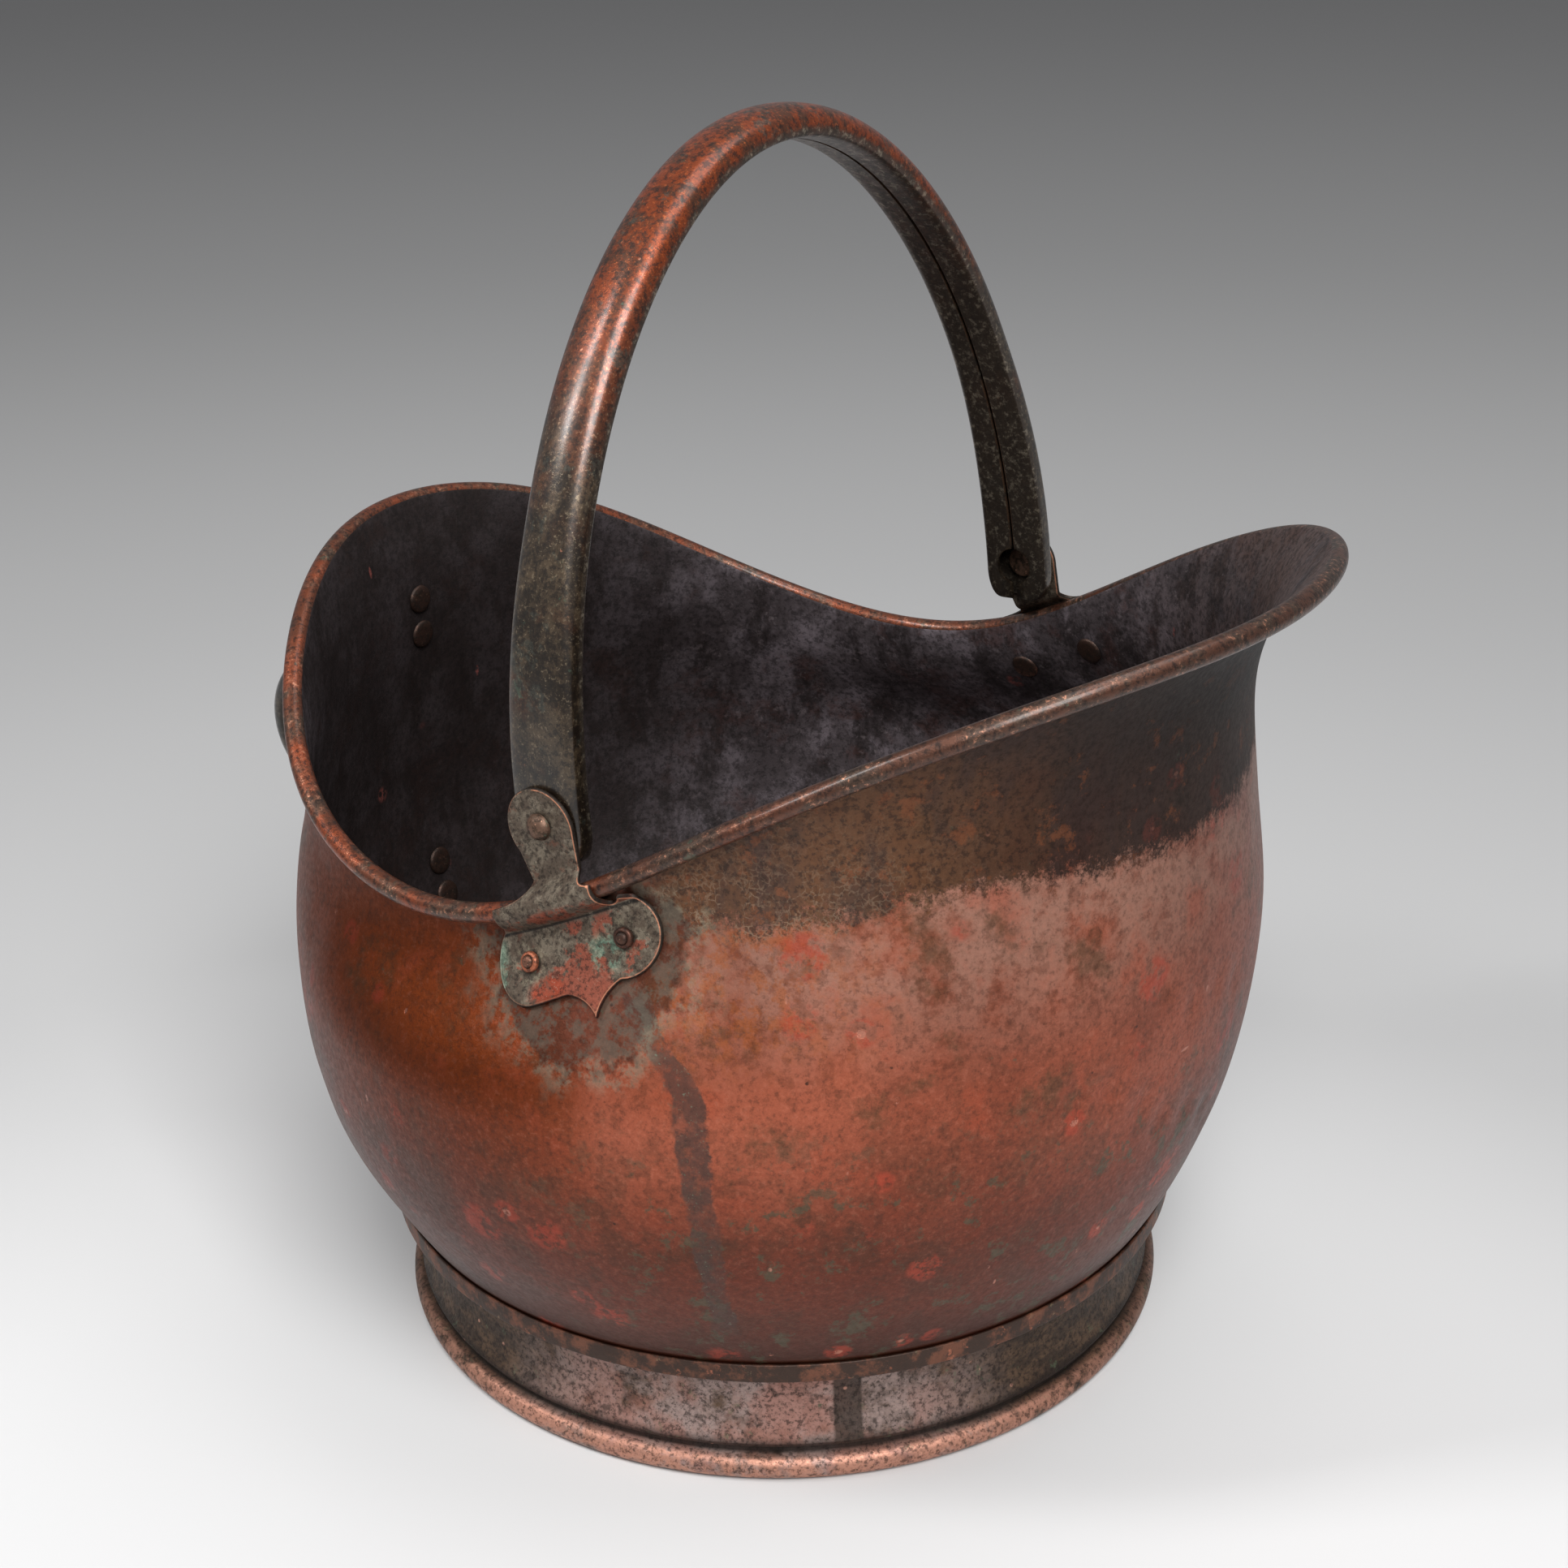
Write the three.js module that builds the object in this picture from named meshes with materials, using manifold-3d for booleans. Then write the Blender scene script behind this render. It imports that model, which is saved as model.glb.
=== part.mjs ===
// A helmet coal scuttle in beaten sheet copper: a bellied bucket with a high hood behind and a flared spout
// in front, its edge rolled over a wire, a wired foot ring, a swinging bail on riveted brackets and a fixed
// tipping handle behind.
// Millimetres, +Z up, +X towards the spout, +Y to the left of someone who looks towards the spout.
// The mouth, brackets and handles are worked out round the belly's axis. The last lines move the whole
// scuttle along X, so that its origin lies on the floor, midway between the spout's lip and the back of the
// rear handle.

import * as THREE from "three";
import { mergeVertices } from "three/addons/utils/BufferGeometryUtils.js";
import Module from "manifold-3d";

const wasm = await Module();
wasm.setup();

// ---------------------------------------------------------------- driving dimensions

// Sheets, wires and the play between pieces that touch
const shellSheet = 1.1;
const baseSheet = 1.1;
const footSheet = 1.1;
const bracketSheet = 1.6;
const bailSheet = 1.2;
const rearSheet = 1.2;
const rimWireRadius = 2.1;
const rimRollTurn = 290; // degrees that the edge is rolled round its wire
const footWireRadius = 3.0;
const seatGap = 0.3;

// Belly: the widest ring, and the seam where the body meets its foot
const bellyRadius = 171;
const seamRadius = 142.5;
const seamHeight = 45.5;
const seamFlange = 5.5;
const seamSlope = 31; // degrees that the wall leans out above the seam
const seamCurve = 36;
const bellyCurve = 44;

// Mouth: every 22.5 degrees from the spout (first) round to the back of the hood (last), alike on both sides
const mouthReach = [20, 14.5, -3, -20, -24, -17.5, -7, -1, 4.5]; // out from the belly to the bead's middle
const mouthHeight = [298, 293.5, 270.5, 234.5, 205, 199.5, 221, 252.5, 264.5];
const mouthFlare = [44, 40, 25, 8, 0, 0, 4, 9, 14]; // degrees that the wall leans out under the bead
const bellyHeight = [166, 164, 158, 150, 144, 142, 146, 152, 156];
const flareCurve = 0.42; // reach of the bend under the bead, as a share of the wall above the belly
const shoulderCurve = 0.4; // the same above the belly

// Foot ring
const footNeckClear = 7; // between the neck and the fold round it
const footFlangeWidth = 11;
const footGrooveHeight = 10.6;
const footGrooveOut = 1.2; // out from the neck
const footSkirtOut = 3.6;
const footBeadOut = 7;
const footSkirtRise = 3; // from the groove to where the skirt starts to draw in
const footNeckInset = 1; // how much the skirt draws in under its flange
const footNeckCurve = 18;
const footSkirtCurve = 7;

// Base disc
const floorHeight = 49.5;

// Bail: a tall arch that leans back a little where it stands
const bailInset = 8.7; // from the bead's middle at the bracket in to the leg's middle
const bailRise = 184;
const bailLegCurve = 95;
const bailCrownCurve = 73;
const bailLean = 5.2; // degrees towards the hood
const bailGripWidth = 22;
const bailGripThickness = 11.4;
const bailEndWidth = 25.5;
const bailEndThickness = 8.6;
const bailEndReach = 13; // from the pivot to the end of each leg
const bailEndRun = 110; // length over which the leg widens to its end
const bailEndRound = 10.4; // length over which the end is rounded off
const bailTipWidth = 0.62; // width of the very end, as a share of the leg's
const bailTipThickness = 0.9;
const bailEndFlatness = 0.5;
const bailSeam = 1.3; // the open seam along the inner face
const accessHoleRadius = 6.9;
const endSlotWidth = 3.0;

// Pivot rivets
const pivotShankRadius = 3.0;
const pivotDomeRadius = 4.4;
const pivotDomeHeight = 3.2;
const pivotHeadRadius = 5.6;
const pivotHeadHeight = 1.4;
const pivotPlay = 0.1;
const pivotHeadGap = 0.5; // under the domed inside of the strap

// Brackets: an ear, a saddle over the bead and a lobed plate
const bracketForward = 21;
const earRadius = 13;
const earAboveBead = 22.5; // along the bracket, from the bead to the middle of the ear
const earOffset = 5.4;
const pivotAboveBead = 23.4;
const pivotOffset = 6.15;
const earOpening = 22; // degrees that the ear's round runs on below level
const neckHeight = 7;
const neckHalfWidth = 10.2;
const neckOffset = 4.2;
const saddleHalfWidth = 20;
const saddleAbove = 3.2; // square sides of the saddle, above and below the bead's middle
const saddleBelow = 3.4;
const saddleCurve = 3;
const plateOffset = 3; // the lobes' middle, forward of the saddle's
const lobeRadius = 13;
const lobeSpacing = 35;
const lobeDrop = 15;
const plateTipOffset = 7.6;
const plateTipDrop = 36;
const plateHollow = 9.6; // half the width of the pointed middle
const plateHollowDrop = 27.6;
const tipCurve = 2.6;
const hollowCurve = 2.2;
const plateClear = 8; // sheet left below the tip before the outline is cut
const saddleStart = 62; // degrees above level where the ear's foot meets the saddle
const saddleTuck = 55; // degrees below level where the saddle turns in under the bead
const saddleTuckDrop = 3.0;
const earFootRise = 2.6; // where the upright ear starts, above the saddle

// Rivets of brackets and rear handle, with their roves
const rivetShankRadius = 2.0;
const rivetHeadRadius = 5.4;
const rivetHeadHeight = 1.1;
const rivetHeadChamfer = 0.7;
const rivetPeenRadius = 1.9;
const rivetPeenHeight = 1.0;
const rivetPeenChamfer = 0.7;
const rivetPlay = 0.15;
const rivetHeadGap = 0.6; // the flat head against the curved wall
const roveRadius = 3.3;
const roveHeight = 1.5;
const roveChamfer = 0.7;
const roveGap = 0.45;
const bracketRivetSpacing = 35.4;
const bracketRivetDrop = 16.4;

// Rear tipping handle: pads on the wall, level legs and a round crown
const rearMiddleHeight = 166;
const rearStandOff = 75; // from the belly to the outside of the crown
const rearCrownRadius = 25;
const rearLegSpread = 11; // how much further apart the legs are at the wall than at the crown
const rearRootCurve = 9; // where the bend starts on the wall
const rearRootBend = 12.6; // where it ends on the leg
const rearLegStart = 1;
const rearPadLength = 34;
const rearGripWidth = 21;
const rearGripThickness = 10;
const rearPadWidth = 25;
const rearPadThickness = 2.9;
const rearPadTipWidth = 0.55; // width of a pad's very end, as a share of its full width
const rearPadGap = 0.5; // the pads bridge the hollow and the bulge of the wall
const rearPadTip = 8; // length over which a pad's end is rounded off
const rearSeam = 1.3;
const rearSwellStart = 4; // from the pad, where the flat strap begins to swell into the grip
const rearSwellEnd = 28;
const rearRivetPitch = 14;
const rearRivetEdge = 9;

// Facets
const ringSteps = 48; // alike for wall, floor and foot, so that the rings nest
const wireSides = 6;
const bailSteps = 26;
const rearSteps = 20;
const outlineSteps = 5; // for each curve of the bracket's outline
const fastenerSides = 10;

// ---------------------------------------------------------------- small tools

const radians = (degrees) => (degrees * Math.PI) / 180;

// One closed solid from a grid of points. Each row closes on itself. The last row meets the first in a ring;
// otherwise both ends are capped.
function solidFromRows(rows, isRing) {
  const count = rows[0].length;
  const positions = rows.flat().flatMap((point) => [point.x, point.y, point.z]);
  const index = [];
  const last = isRing ? rows.length : rows.length - 1;
  for (let row = 0; row < last; row++) {
    const here = row * count;
    const next = ((row + 1) % rows.length) * count;
    for (let column = 0; column < count; column++) {
      const beside = (column + 1) % count;
      index.push(here + column, next + column, next + beside);
      index.push(here + column, next + beside, here + beside);
    }
  }
  if (!isRing) {
    capRow(count, 0, index, false);
    capRow(count, (rows.length - 1) * count, index, true);
  }
  const geometry = new THREE.BufferGeometry();
  geometry.setAttribute("position", new THREE.Float32BufferAttribute(positions, 3));
  geometry.setIndex(index);
  return facingOut(geometry);
}

// Closes an open end. The row runs up one face of a sheet and back down the other, so opposite points pair.
function capRow(count, first, index, reversed) {
  for (let at = 0; at < count / 2 - 1; at++) {
    const [a, b, c, d] = [at, at + 1, count - 2 - at, count - 1 - at].map((point) => first + point);
    if (reversed) index.push(a, c, b, a, d, c);
    else index.push(a, b, c, a, c, d);
  }
}

function signedVolume(geometry) {
  const position = geometry.attributes.position;
  const index = geometry.index.array;
  const [a, b, c] = [new THREE.Vector3(), new THREE.Vector3(), new THREE.Vector3()];
  let volume = 0;
  for (let corner = 0; corner < index.length; corner += 3) {
    a.fromBufferAttribute(position, index[corner]);
    b.fromBufferAttribute(position, index[corner + 1]);
    c.fromBufferAttribute(position, index[corner + 2]);
    volume += a.dot(b.cross(c)) / 6;
  }
  return volume;
}

function facingOut(geometry) {
  if (signedVolume(geometry) < 0) {
    const index = geometry.index.array;
    for (let corner = 0; corner < index.length; corner += 3) {
      [index[corner + 1], index[corner + 2]] = [index[corner + 2], index[corner + 1]];
    }
  }
  return geometry;
}

function toSolid(geometry) {
  const bare = geometry.clone();
  bare.deleteAttribute("normal");
  bare.deleteAttribute("uv");
  const merged = facingOut(mergeVertices(bare, 1e-4));
  const vertProperties = new Float32Array(merged.attributes.position.array);
  const triVerts = new Uint32Array(merged.index.array);
  return new wasm.Manifold(new wasm.Mesh({ numProp: 3, vertProperties, triVerts }));
}

function toGeometry(solid) {
  const mesh = solid.getMesh();
  const geometry = new THREE.BufferGeometry();
  geometry.setAttribute("position", new THREE.BufferAttribute(new Float32Array(mesh.vertProperties), 3));
  geometry.setIndex(new THREE.BufferAttribute(new Uint32Array(mesh.triVerts), 1));
  return geometry;
}

function cut(geometry, tools) {
  return toGeometry(tools.reduce((solid, tool) => solid.subtract(toSolid(tool)), toSolid(geometry)));
}

// A cylinder, or another turned piece, laid along a direction through a point.
function layAlong(geometry, point, direction) {
  const turn = new THREE.Quaternion().setFromUnitVectors(new THREE.Vector3(0, 1, 0), direction);
  return geometry.applyQuaternion(turn).translate(point.x, point.y, point.z);
}

// A drill whose flats, not its corners, lie at the radius.
function drill(radius, length, point, direction) {
  const corner = radius / Math.cos(Math.PI / fastenerSides);
  return layAlong(new THREE.CylinderGeometry(corner, corner, length, fastenerSides), point, direction);
}

// Drills for rivets that go through the wall and what lies on it.
function rivetHoles(places) {
  const drillLength = 14;
  return places.map(({ point, normal }) => drill(rivetShankRadius + rivetPlay, drillLength, point, normal));
}

// A ring turned about the Z axis from a closed outline of [radius, height] points.
function turnedRing(outline, steps) {
  const rows = [];
  for (let step = 0; step < steps; step++) {
    const azimuth = (step / steps) * 2 * Math.PI;
    rows.push(outline.map(([radius, height]) => around(radius, azimuth, height)));
  }
  return solidFromRows(rows, true);
}

function around(radius, azimuth, height) {
  return new THREE.Vector3(radius * Math.cos(azimuth), radius * Math.sin(azimuth), height);
}

// Points of an arc in a radius and height plane, angles in degrees.
function arc(middle, radius, from, to, steps) {
  const points = [];
  for (let step = 0; step <= steps; step++) {
    const angle = radians(from + ((to - from) * step) / steps);
    points.push([middle[0] + radius * Math.cos(angle), middle[1] + radius * Math.sin(angle)]);
  }
  return points;
}

// Halves an interval until rising(value) changes sign inside it.
function findRoot(low, high, rising) {
  for (let halving = 0; halving < 40; halving++) {
    const middle = (low + high) / 2;
    if (rising(middle) > 0) high = middle;
    else low = middle;
  }
  return (low + high) / 2;
}

// ---------------------------------------------------------------- the wall of the bucket

const mouthRadius = mouthReach.map((reach) => bellyRadius + reach);

// A smooth value round the mouth: the cosine series through evenly spaced stations from spout to hood.
function roundMouth(stations, azimuth) {
  const spans = stations.length - 1;
  const isEnd = (number) => number === 0 || number === spans;
  let value = 0;
  for (let wave = 0; wave <= spans; wave++) {
    let weight = 0;
    stations.forEach((station, at) => {
      weight += (isEnd(at) ? 0.5 : 1) * station * Math.cos((wave * at * Math.PI) / spans);
    });
    value += (isEnd(wave) ? 1 : 2) * (weight / spans) * Math.cos(wave * azimuth);
  }
  return value;
}

const rimBeadRadius = rimWireRadius + seatGap + shellSheet;
const rollInside = rimBeadRadius - shellSheet;

// The wall in the upright plane at an azimuth, as [radius, height] curves of its outer face.
function wallAt(azimuth) {
  const bead = [roundMouth(mouthRadius, azimuth), roundMouth(mouthHeight, azimuth)];
  const flare = radians(roundMouth(mouthFlare, azimuth));
  const belly = roundMouth(bellyHeight, azimuth);
  const [flareOut, flareUp] = [Math.sin(flare), Math.cos(flare)];
  const top = new THREE.Vector2(bead[0] - flareUp * rollInside, bead[1] + flareOut * rollInside);
  const rise = top.y - belly;
  const foot = new THREE.Vector2(seamRadius, seamHeight + seamFlange);
  const lean = radians(seamSlope);
  const lower = new THREE.CubicBezierCurve(
    foot,
    new THREE.Vector2(foot.x + seamCurve * Math.sin(lean), foot.y + seamCurve * Math.cos(lean)),
    new THREE.Vector2(bellyRadius, belly - bellyCurve),
    new THREE.Vector2(bellyRadius, belly),
  );
  const bend = rise * flareCurve;
  const upper = new THREE.CubicBezierCurve(
    new THREE.Vector2(bellyRadius, belly),
    new THREE.Vector2(bellyRadius, belly + rise * shoulderCurve),
    new THREE.Vector2(top.x - flareOut * bend, top.y - flareUp * bend),
    top,
  );
  return { bead, flare, lower, upper };
}

const lowerSteps = 4;
const upperSteps = 6;

// Outer radius of the wall at an azimuth and a height, on the flats between its rings.
function wallRadius(azimuth, height) {
  const wall = wallAt(azimuth);
  const rings = [...wall.lower.getPoints(lowerSteps), ...wall.upper.getPoints(upperSteps).slice(1)];
  const above = Math.max(1, rings.findIndex((ring, at) => ring.y > height || at === rings.length - 1));
  const [low, high] = [rings[above - 1], rings[above]];
  return THREE.MathUtils.mapLinear(height, low.y, high.y, low.x, high.x);
}

function wallPoint(azimuth, height) {
  return around(wallRadius(azimuth, height), azimuth, height);
}

function wallNormal(azimuth, height) {
  const nudge = 0.01;
  const along = wallPoint(azimuth + nudge, height).sub(wallPoint(azimuth - nudge, height));
  const up = wallPoint(azimuth, height + 1).sub(wallPoint(azimuth, height - 1));
  return along.cross(up).normalize();
}

// Azimuths between which X falls steadily from the spout to the hood.
const nearSpout = 0.2;
const nearHood = 2.8;

// Azimuth at which the wall, at a height, has a given X. Side is -1 for the near side and 1 for the far one.
function azimuthAtX(x, height, side) {
  const excess = (azimuth) => x - wallRadius(azimuth, height) * Math.cos(azimuth);
  return side * findRoot(nearSpout, nearHood, excess);
}

// The bead's middle at a given X, as the distance out from the plane of symmetry and the height.
function beadAtX(x) {
  const excess = (angle) => x - roundMouth(mouthRadius, angle) * Math.cos(angle);
  const azimuth = findRoot(nearSpout, nearHood, excess);
  return [roundMouth(mouthRadius, azimuth) * Math.sin(azimuth), roundMouth(mouthHeight, azimuth)];
}

function shellSection(azimuth) {
  const wall = wallAt(azimuth);
  const rollSteps = 6;
  const outer = [[seamRadius, seamHeight]];
  const inner = [[seamRadius - shellSheet, seamHeight]];
  const follow = (curve, steps, first) => {
    for (let step = first; step <= steps; step++) {
      const share = step / steps;
      const point = curve.getPoint(share);
      const tangent = curve.getTangent(share);
      outer.push([point.x, point.y]);
      inner.push([point.x - shellSheet * tangent.y, point.y + shellSheet * tangent.x]);
    }
  };
  follow(wall.lower, lowerSteps, 0);
  follow(wall.upper, upperSteps, 1);
  // The roll starts against the wall, goes over the top and stops under the wire, short of the wall.
  const rollStart = 180 - (wall.flare * 180) / Math.PI;
  const rollEnd = rollStart - rimRollTurn;
  const rollOver = arc(wall.bead, rollInside, rollStart, rollEnd, rollSteps).slice(1);
  const rollBack = arc(wall.bead, rimBeadRadius, rollEnd, rollStart, rollSteps).slice(0, -1);
  return [...outer, ...rollOver, ...rollBack, ...inner.reverse()];
}

function makeBodyShell(rivetPlaces) {
  const rows = [];
  for (let step = 0; step < ringSteps; step++) {
    const azimuth = (step / ringSteps) * 2 * Math.PI;
    rows.push(shellSection(azimuth).map(([radius, height]) => around(radius, azimuth, height)));
  }
  return cut(solidFromRows(rows, true), rivetHoles(rivetPlaces));
}

function makeRimWire() {
  const rows = [];
  for (let step = 0; step < ringSteps; step++) {
    const azimuth = (step / ringSteps) * 2 * Math.PI;
    const bead = [roundMouth(mouthRadius, azimuth), roundMouth(mouthHeight, azimuth)];
    const sides = arc(bead, rimWireRadius, 0, 360, wireSides).slice(0, -1);
    rows.push(sides.map(([radius, height]) => around(radius, azimuth, height)));
  }
  return solidFromRows(rows, true);
}

// ---------------------------------------------------------------- floor and foot

// The floor's edge is folded down inside the body's flange, under it and up again outside: the seam ridge.
const ridgeInside = seamRadius + seatGap;
const ridgeOutside = ridgeInside + baseSheet;
const foldInside = seamRadius - shellSheet - seatGap;
const foldBottom = seamHeight - seatGap - baseSheet;

function makeBaseDisc() {
  const outline = [
    [0, floorHeight - baseSheet],
    [foldInside - baseSheet, floorHeight - baseSheet],
    [foldInside - baseSheet, foldBottom + baseSheet / 2],
    [foldInside - baseSheet / 2, foldBottom],
    [ridgeOutside - baseSheet / 2, foldBottom],
    [ridgeOutside, foldBottom + baseSheet / 2],
    [ridgeOutside, seamHeight + seamFlange - baseSheet],
    [ridgeInside, seamHeight + seamFlange - baseSheet / 2],
    [ridgeInside, seamHeight - seatGap],
    [foldInside, seamHeight - seatGap],
    [foldInside, floorHeight],
    [0, floorHeight],
  ];
  const points = outline.map(([radius, height]) => new THREE.Vector2(radius, height));
  return new THREE.LatheGeometry(points, ringSteps).rotateX(Math.PI / 2);
}

const footNeckRadius = foldInside - baseSheet - footNeckClear;
const footGrooveRadius = footNeckRadius + footGrooveOut;
const footSkirtRadius = footNeckRadius + footSkirtOut;
const footRadius = footNeckRadius + footBeadOut;
const footBeadRadius = footWireRadius + seatGap + footSheet;
const footBead = [footRadius - footBeadRadius, footBeadRadius];

function makeFootRing() {
  const flangeTop = floorHeight - baseSheet - seatGap;
  const rollInsideFoot = footBeadRadius - footSheet;
  const skirtTop = new THREE.Vector2(footNeckRadius, flangeTop - footSheet);
  const skirtFoot = footGrooveHeight + footSkirtRise;
  const groove = new THREE.Vector2(footGrooveRadius, footGrooveHeight);
  const skirt = new THREE.CubicBezierCurve(
    skirtTop,
    new THREE.Vector2(footNeckRadius - footNeckInset, flangeTop - footNeckCurve),
    new THREE.Vector2(footNeckRadius, skirtFoot + footSkirtCurve),
    new THREE.Vector2(footSkirtRadius, skirtFoot),
  );
  const skirtPoints = skirt.getPoints(4).map((point) => [point.x, point.y]);
  const outer = [[footNeckRadius - footFlangeWidth, flangeTop], [footNeckRadius, flangeTop], ...skirtPoints];
  outer.push([groove.x, groove.y]);
  const inner = [
    [footNeckRadius - footFlangeWidth, flangeTop - footSheet],
    ...skirtPoints.map(([radius, height]) => [radius - footSheet, height - footSheet / 2]),
    [groove.x - footSheet, groove.y],
  ];
  // The bead is rolled out over its wire and in underneath, where it is worn flat on the floor.
  const half = 22.5; // half the turn of one facet of the bead
  const corner = Math.cos(radians(half));
  const rollOver = arc(footBead, footBeadRadius / corner, 90 - half, -90 - half, 4);
  const rollBack = arc(footBead, rollInsideFoot / corner, -90 - half, 90 + half, 5);
  const outline = [...outer, ...rollOver, ...rollBack, ...inner.reverse()];
  return turnedRing(outline, ringSteps);
}

function makeFootWire() {
  return turnedRing(arc(footBead, footWireRadius, 30, 390, wireSides).slice(0, -1), ringSteps);
}

// ---------------------------------------------------------------- the brackets' own measures and the pivots

const bracketBead = beadAtX(bracketForward);
const slopeReach = 12;
const bracketSlope = Math.atan2(
  beadAtX(bracketForward + slopeReach)[1] - beadAtX(bracketForward - slopeReach)[1],
  2 * slopeReach,
);

// From the bracket's own measures, along the rim and up across it, to X and Z.
function onBracket(along, upward) {
  return new THREE.Vector2(
    bracketForward + along * Math.cos(bracketSlope) - upward * Math.sin(bracketSlope),
    bracketBead[1] + along * Math.sin(bracketSlope) + upward * Math.cos(bracketSlope),
  );
}

const pivot = onBracket(pivotOffset, pivotAboveBead);
const bailHalfSpan = bracketBead[0] - bailInset;

// ---------------------------------------------------------------- strap rolled from sheet, its seam inside

const gripDome = 0.62; // of the thickness, outside the strap's middle line
const padDome = 0.5;
const gripRoundness = 2.2; // power of the section's curve: 2 is an ellipse, more is squarer
const padRoundness = 7.2;
const backRoundness = 5;

// How far the domed face stands above the strap's middle line.
function domeOf(thickness, flatness) {
  return thickness * THREE.MathUtils.lerp(gripDome, padDome, flatness);
}

// Width near a rounded end, as a share of the full width. The run is 0 at the end and 1 where rounding stops.
function roundedEnd(run, narrowest) {
  return narrowest + (1 - narrowest) * Math.sqrt(1 - (1 - Math.min(1, run)) ** 2);
}

// One section of the strap: across is its width, outward its domed face. The seam is open in the flat face.
function strapSection(place, width, thickness, sheet, seam, flatness) {
  const domeRoundness = THREE.MathUtils.lerp(gripRoundness, padRoundness, flatness);
  const loop = (half, domed, flat, opening) => {
    const points = [[opening / 2, -flat]];
    for (let angle = -60; angle <= 240; angle += 30) {
      const isDomed = angle >= 0 && angle <= 180;
      const power = 2 / (isDomed ? domeRoundness : backRoundness);
      const cosine = Math.cos(radians(angle));
      const sine = Math.sin(radians(angle));
      const height = (isDomed ? domed : flat) * Math.abs(sine) ** power;
      points.push([half * Math.sign(cosine) * Math.abs(cosine) ** power, Math.sign(sine) * height]);
    }
    points.push([-opening / 2, -flat]);
    return points;
  };
  const domed = domeOf(thickness, flatness);
  const flat = thickness - domed;
  const outer = loop(width / 2, domed, flat, seam);
  const inner = loop(width / 2 - sheet, domed - sheet, flat - sheet, seam).reverse();
  return [...outer, ...inner].map(([a, b]) =>
    place.point.clone().addScaledVector(place.across, a).addScaledVector(place.outward, b),
  );
}

// ---------------------------------------------------------------- bail

// The arch in its own plane: span sideways, rise upward from the pivots.
function bailPath() {
  const path = new THREE.Path();
  path.moveTo(-bailHalfSpan, -bailEndReach);
  path.lineTo(-bailHalfSpan, 0);
  path.bezierCurveTo(-bailHalfSpan, bailLegCurve, -bailCrownCurve, bailRise, 0, bailRise);
  path.bezierCurveTo(bailCrownCurve, bailRise, bailHalfSpan, bailLegCurve, bailHalfSpan, 0);
  path.lineTo(bailHalfSpan, -bailEndReach);
  return path;
}

function makeBail() {
  const path = bailPath();
  const length = path.getLength();
  const roundingStops = [0, 0.25, 0.6, 1];
  const shares = roundingStops.map((stop) => (stop * bailEndRound) / length);
  const firstShare = shares[shares.length - 1];
  const along = [...shares];
  for (let step = 1; step < bailSteps; step++) {
    along.push(THREE.MathUtils.lerp(firstShare, 1 - firstShare, step / bailSteps));
  }
  along.push(...shares.map((share) => 1 - share).reverse());
  const rows = along.map((share) => {
    const point = path.getPointAt(share);
    const tangent = path.getTangentAt(share);
    const fromEnd = Math.min(share, 1 - share) * length;
    const ease = THREE.MathUtils.smoothstep(fromEnd, bailEndReach * 2, bailEndRun);
    const round = fromEnd / bailEndRound;
    const legWidth = THREE.MathUtils.lerp(bailEndWidth, bailGripWidth, ease);
    const legThickness = THREE.MathUtils.lerp(bailEndThickness, bailGripThickness, ease);
    const width = legWidth * roundedEnd(round, bailTipWidth);
    const thickness = legThickness * roundedEnd(round, bailTipThickness);
    const place = {
      point: new THREE.Vector3(0, point.x, point.y),
      across: new THREE.Vector3(1, 0, 0),
      outward: new THREE.Vector3(0, -tangent.y, tangent.x),
    };
    return strapSection(place, width, thickness, bailSheet, bailSeam, bailEndFlatness * (1 - ease));
  });
  const tools = [-1, 1].flatMap((side) => {
    const legMiddle = new THREE.Vector3(0, side * bailHalfSpan, 0);
    const outward = new THREE.Vector3(0, side, 0);
    const outerFace = legMiddle.clone().addScaledVector(outward, bailEndThickness / 2);
    const innerFace = legMiddle.clone().addScaledVector(outward, -bailEndThickness / 2);
    const slotLength = bailEndReach * 1.5;
    const slot = new THREE.BoxGeometry(endSlotWidth, bailEndThickness / 2, slotLength);
    slot.translate(innerFace.x, innerFace.y, -slotLength / 2);
    return [
      drill(pivotShankRadius + pivotPlay, bailEndThickness, outerFace, outward),
      drill(accessHoleRadius, bailEndThickness / 2, innerFace, outward),
      slot,
    ];
  });
  const geometry = cut(solidFromRows(rows, false), tools);
  geometry.rotateY(radians(-bailLean));
  return geometry.translate(pivot.x, 0, pivot.y);
}

const bailOuterFace = bailHalfSpan + domeOf(bailEndThickness, bailEndFlatness);
const earInside = bailOuterFace + seatGap;

function makePivotRivet(side) {
  const headTop = bailOuterFace - bailSheet - pivotHeadGap;
  const domeSeat = earInside + bracketSheet + seatGap;
  const dome = [0, 35, 63, 90].map((rise) => [
    pivotDomeRadius * Math.cos(radians(rise)),
    domeSeat + pivotDomeHeight * Math.sin(radians(rise)),
  ]);
  const outline = [
    [0, headTop - pivotHeadHeight],
    [pivotHeadRadius, headTop - pivotHeadHeight],
    [pivotHeadRadius, headTop],
    [pivotShankRadius, headTop],
    [pivotShankRadius, domeSeat],
    ...dome.slice(0, -1),
    [0, domeSeat + pivotDomeHeight],
  ];
  const points = outline.map(([radius, height]) => new THREE.Vector2(radius, height));
  const rivet = new THREE.LatheGeometry(points, fastenerSides);
  return layAlong(rivet, new THREE.Vector3(pivot.x, 0, pivot.y), new THREE.Vector3(0, side, 0));
}

// ---------------------------------------------------------------- brackets

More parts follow.
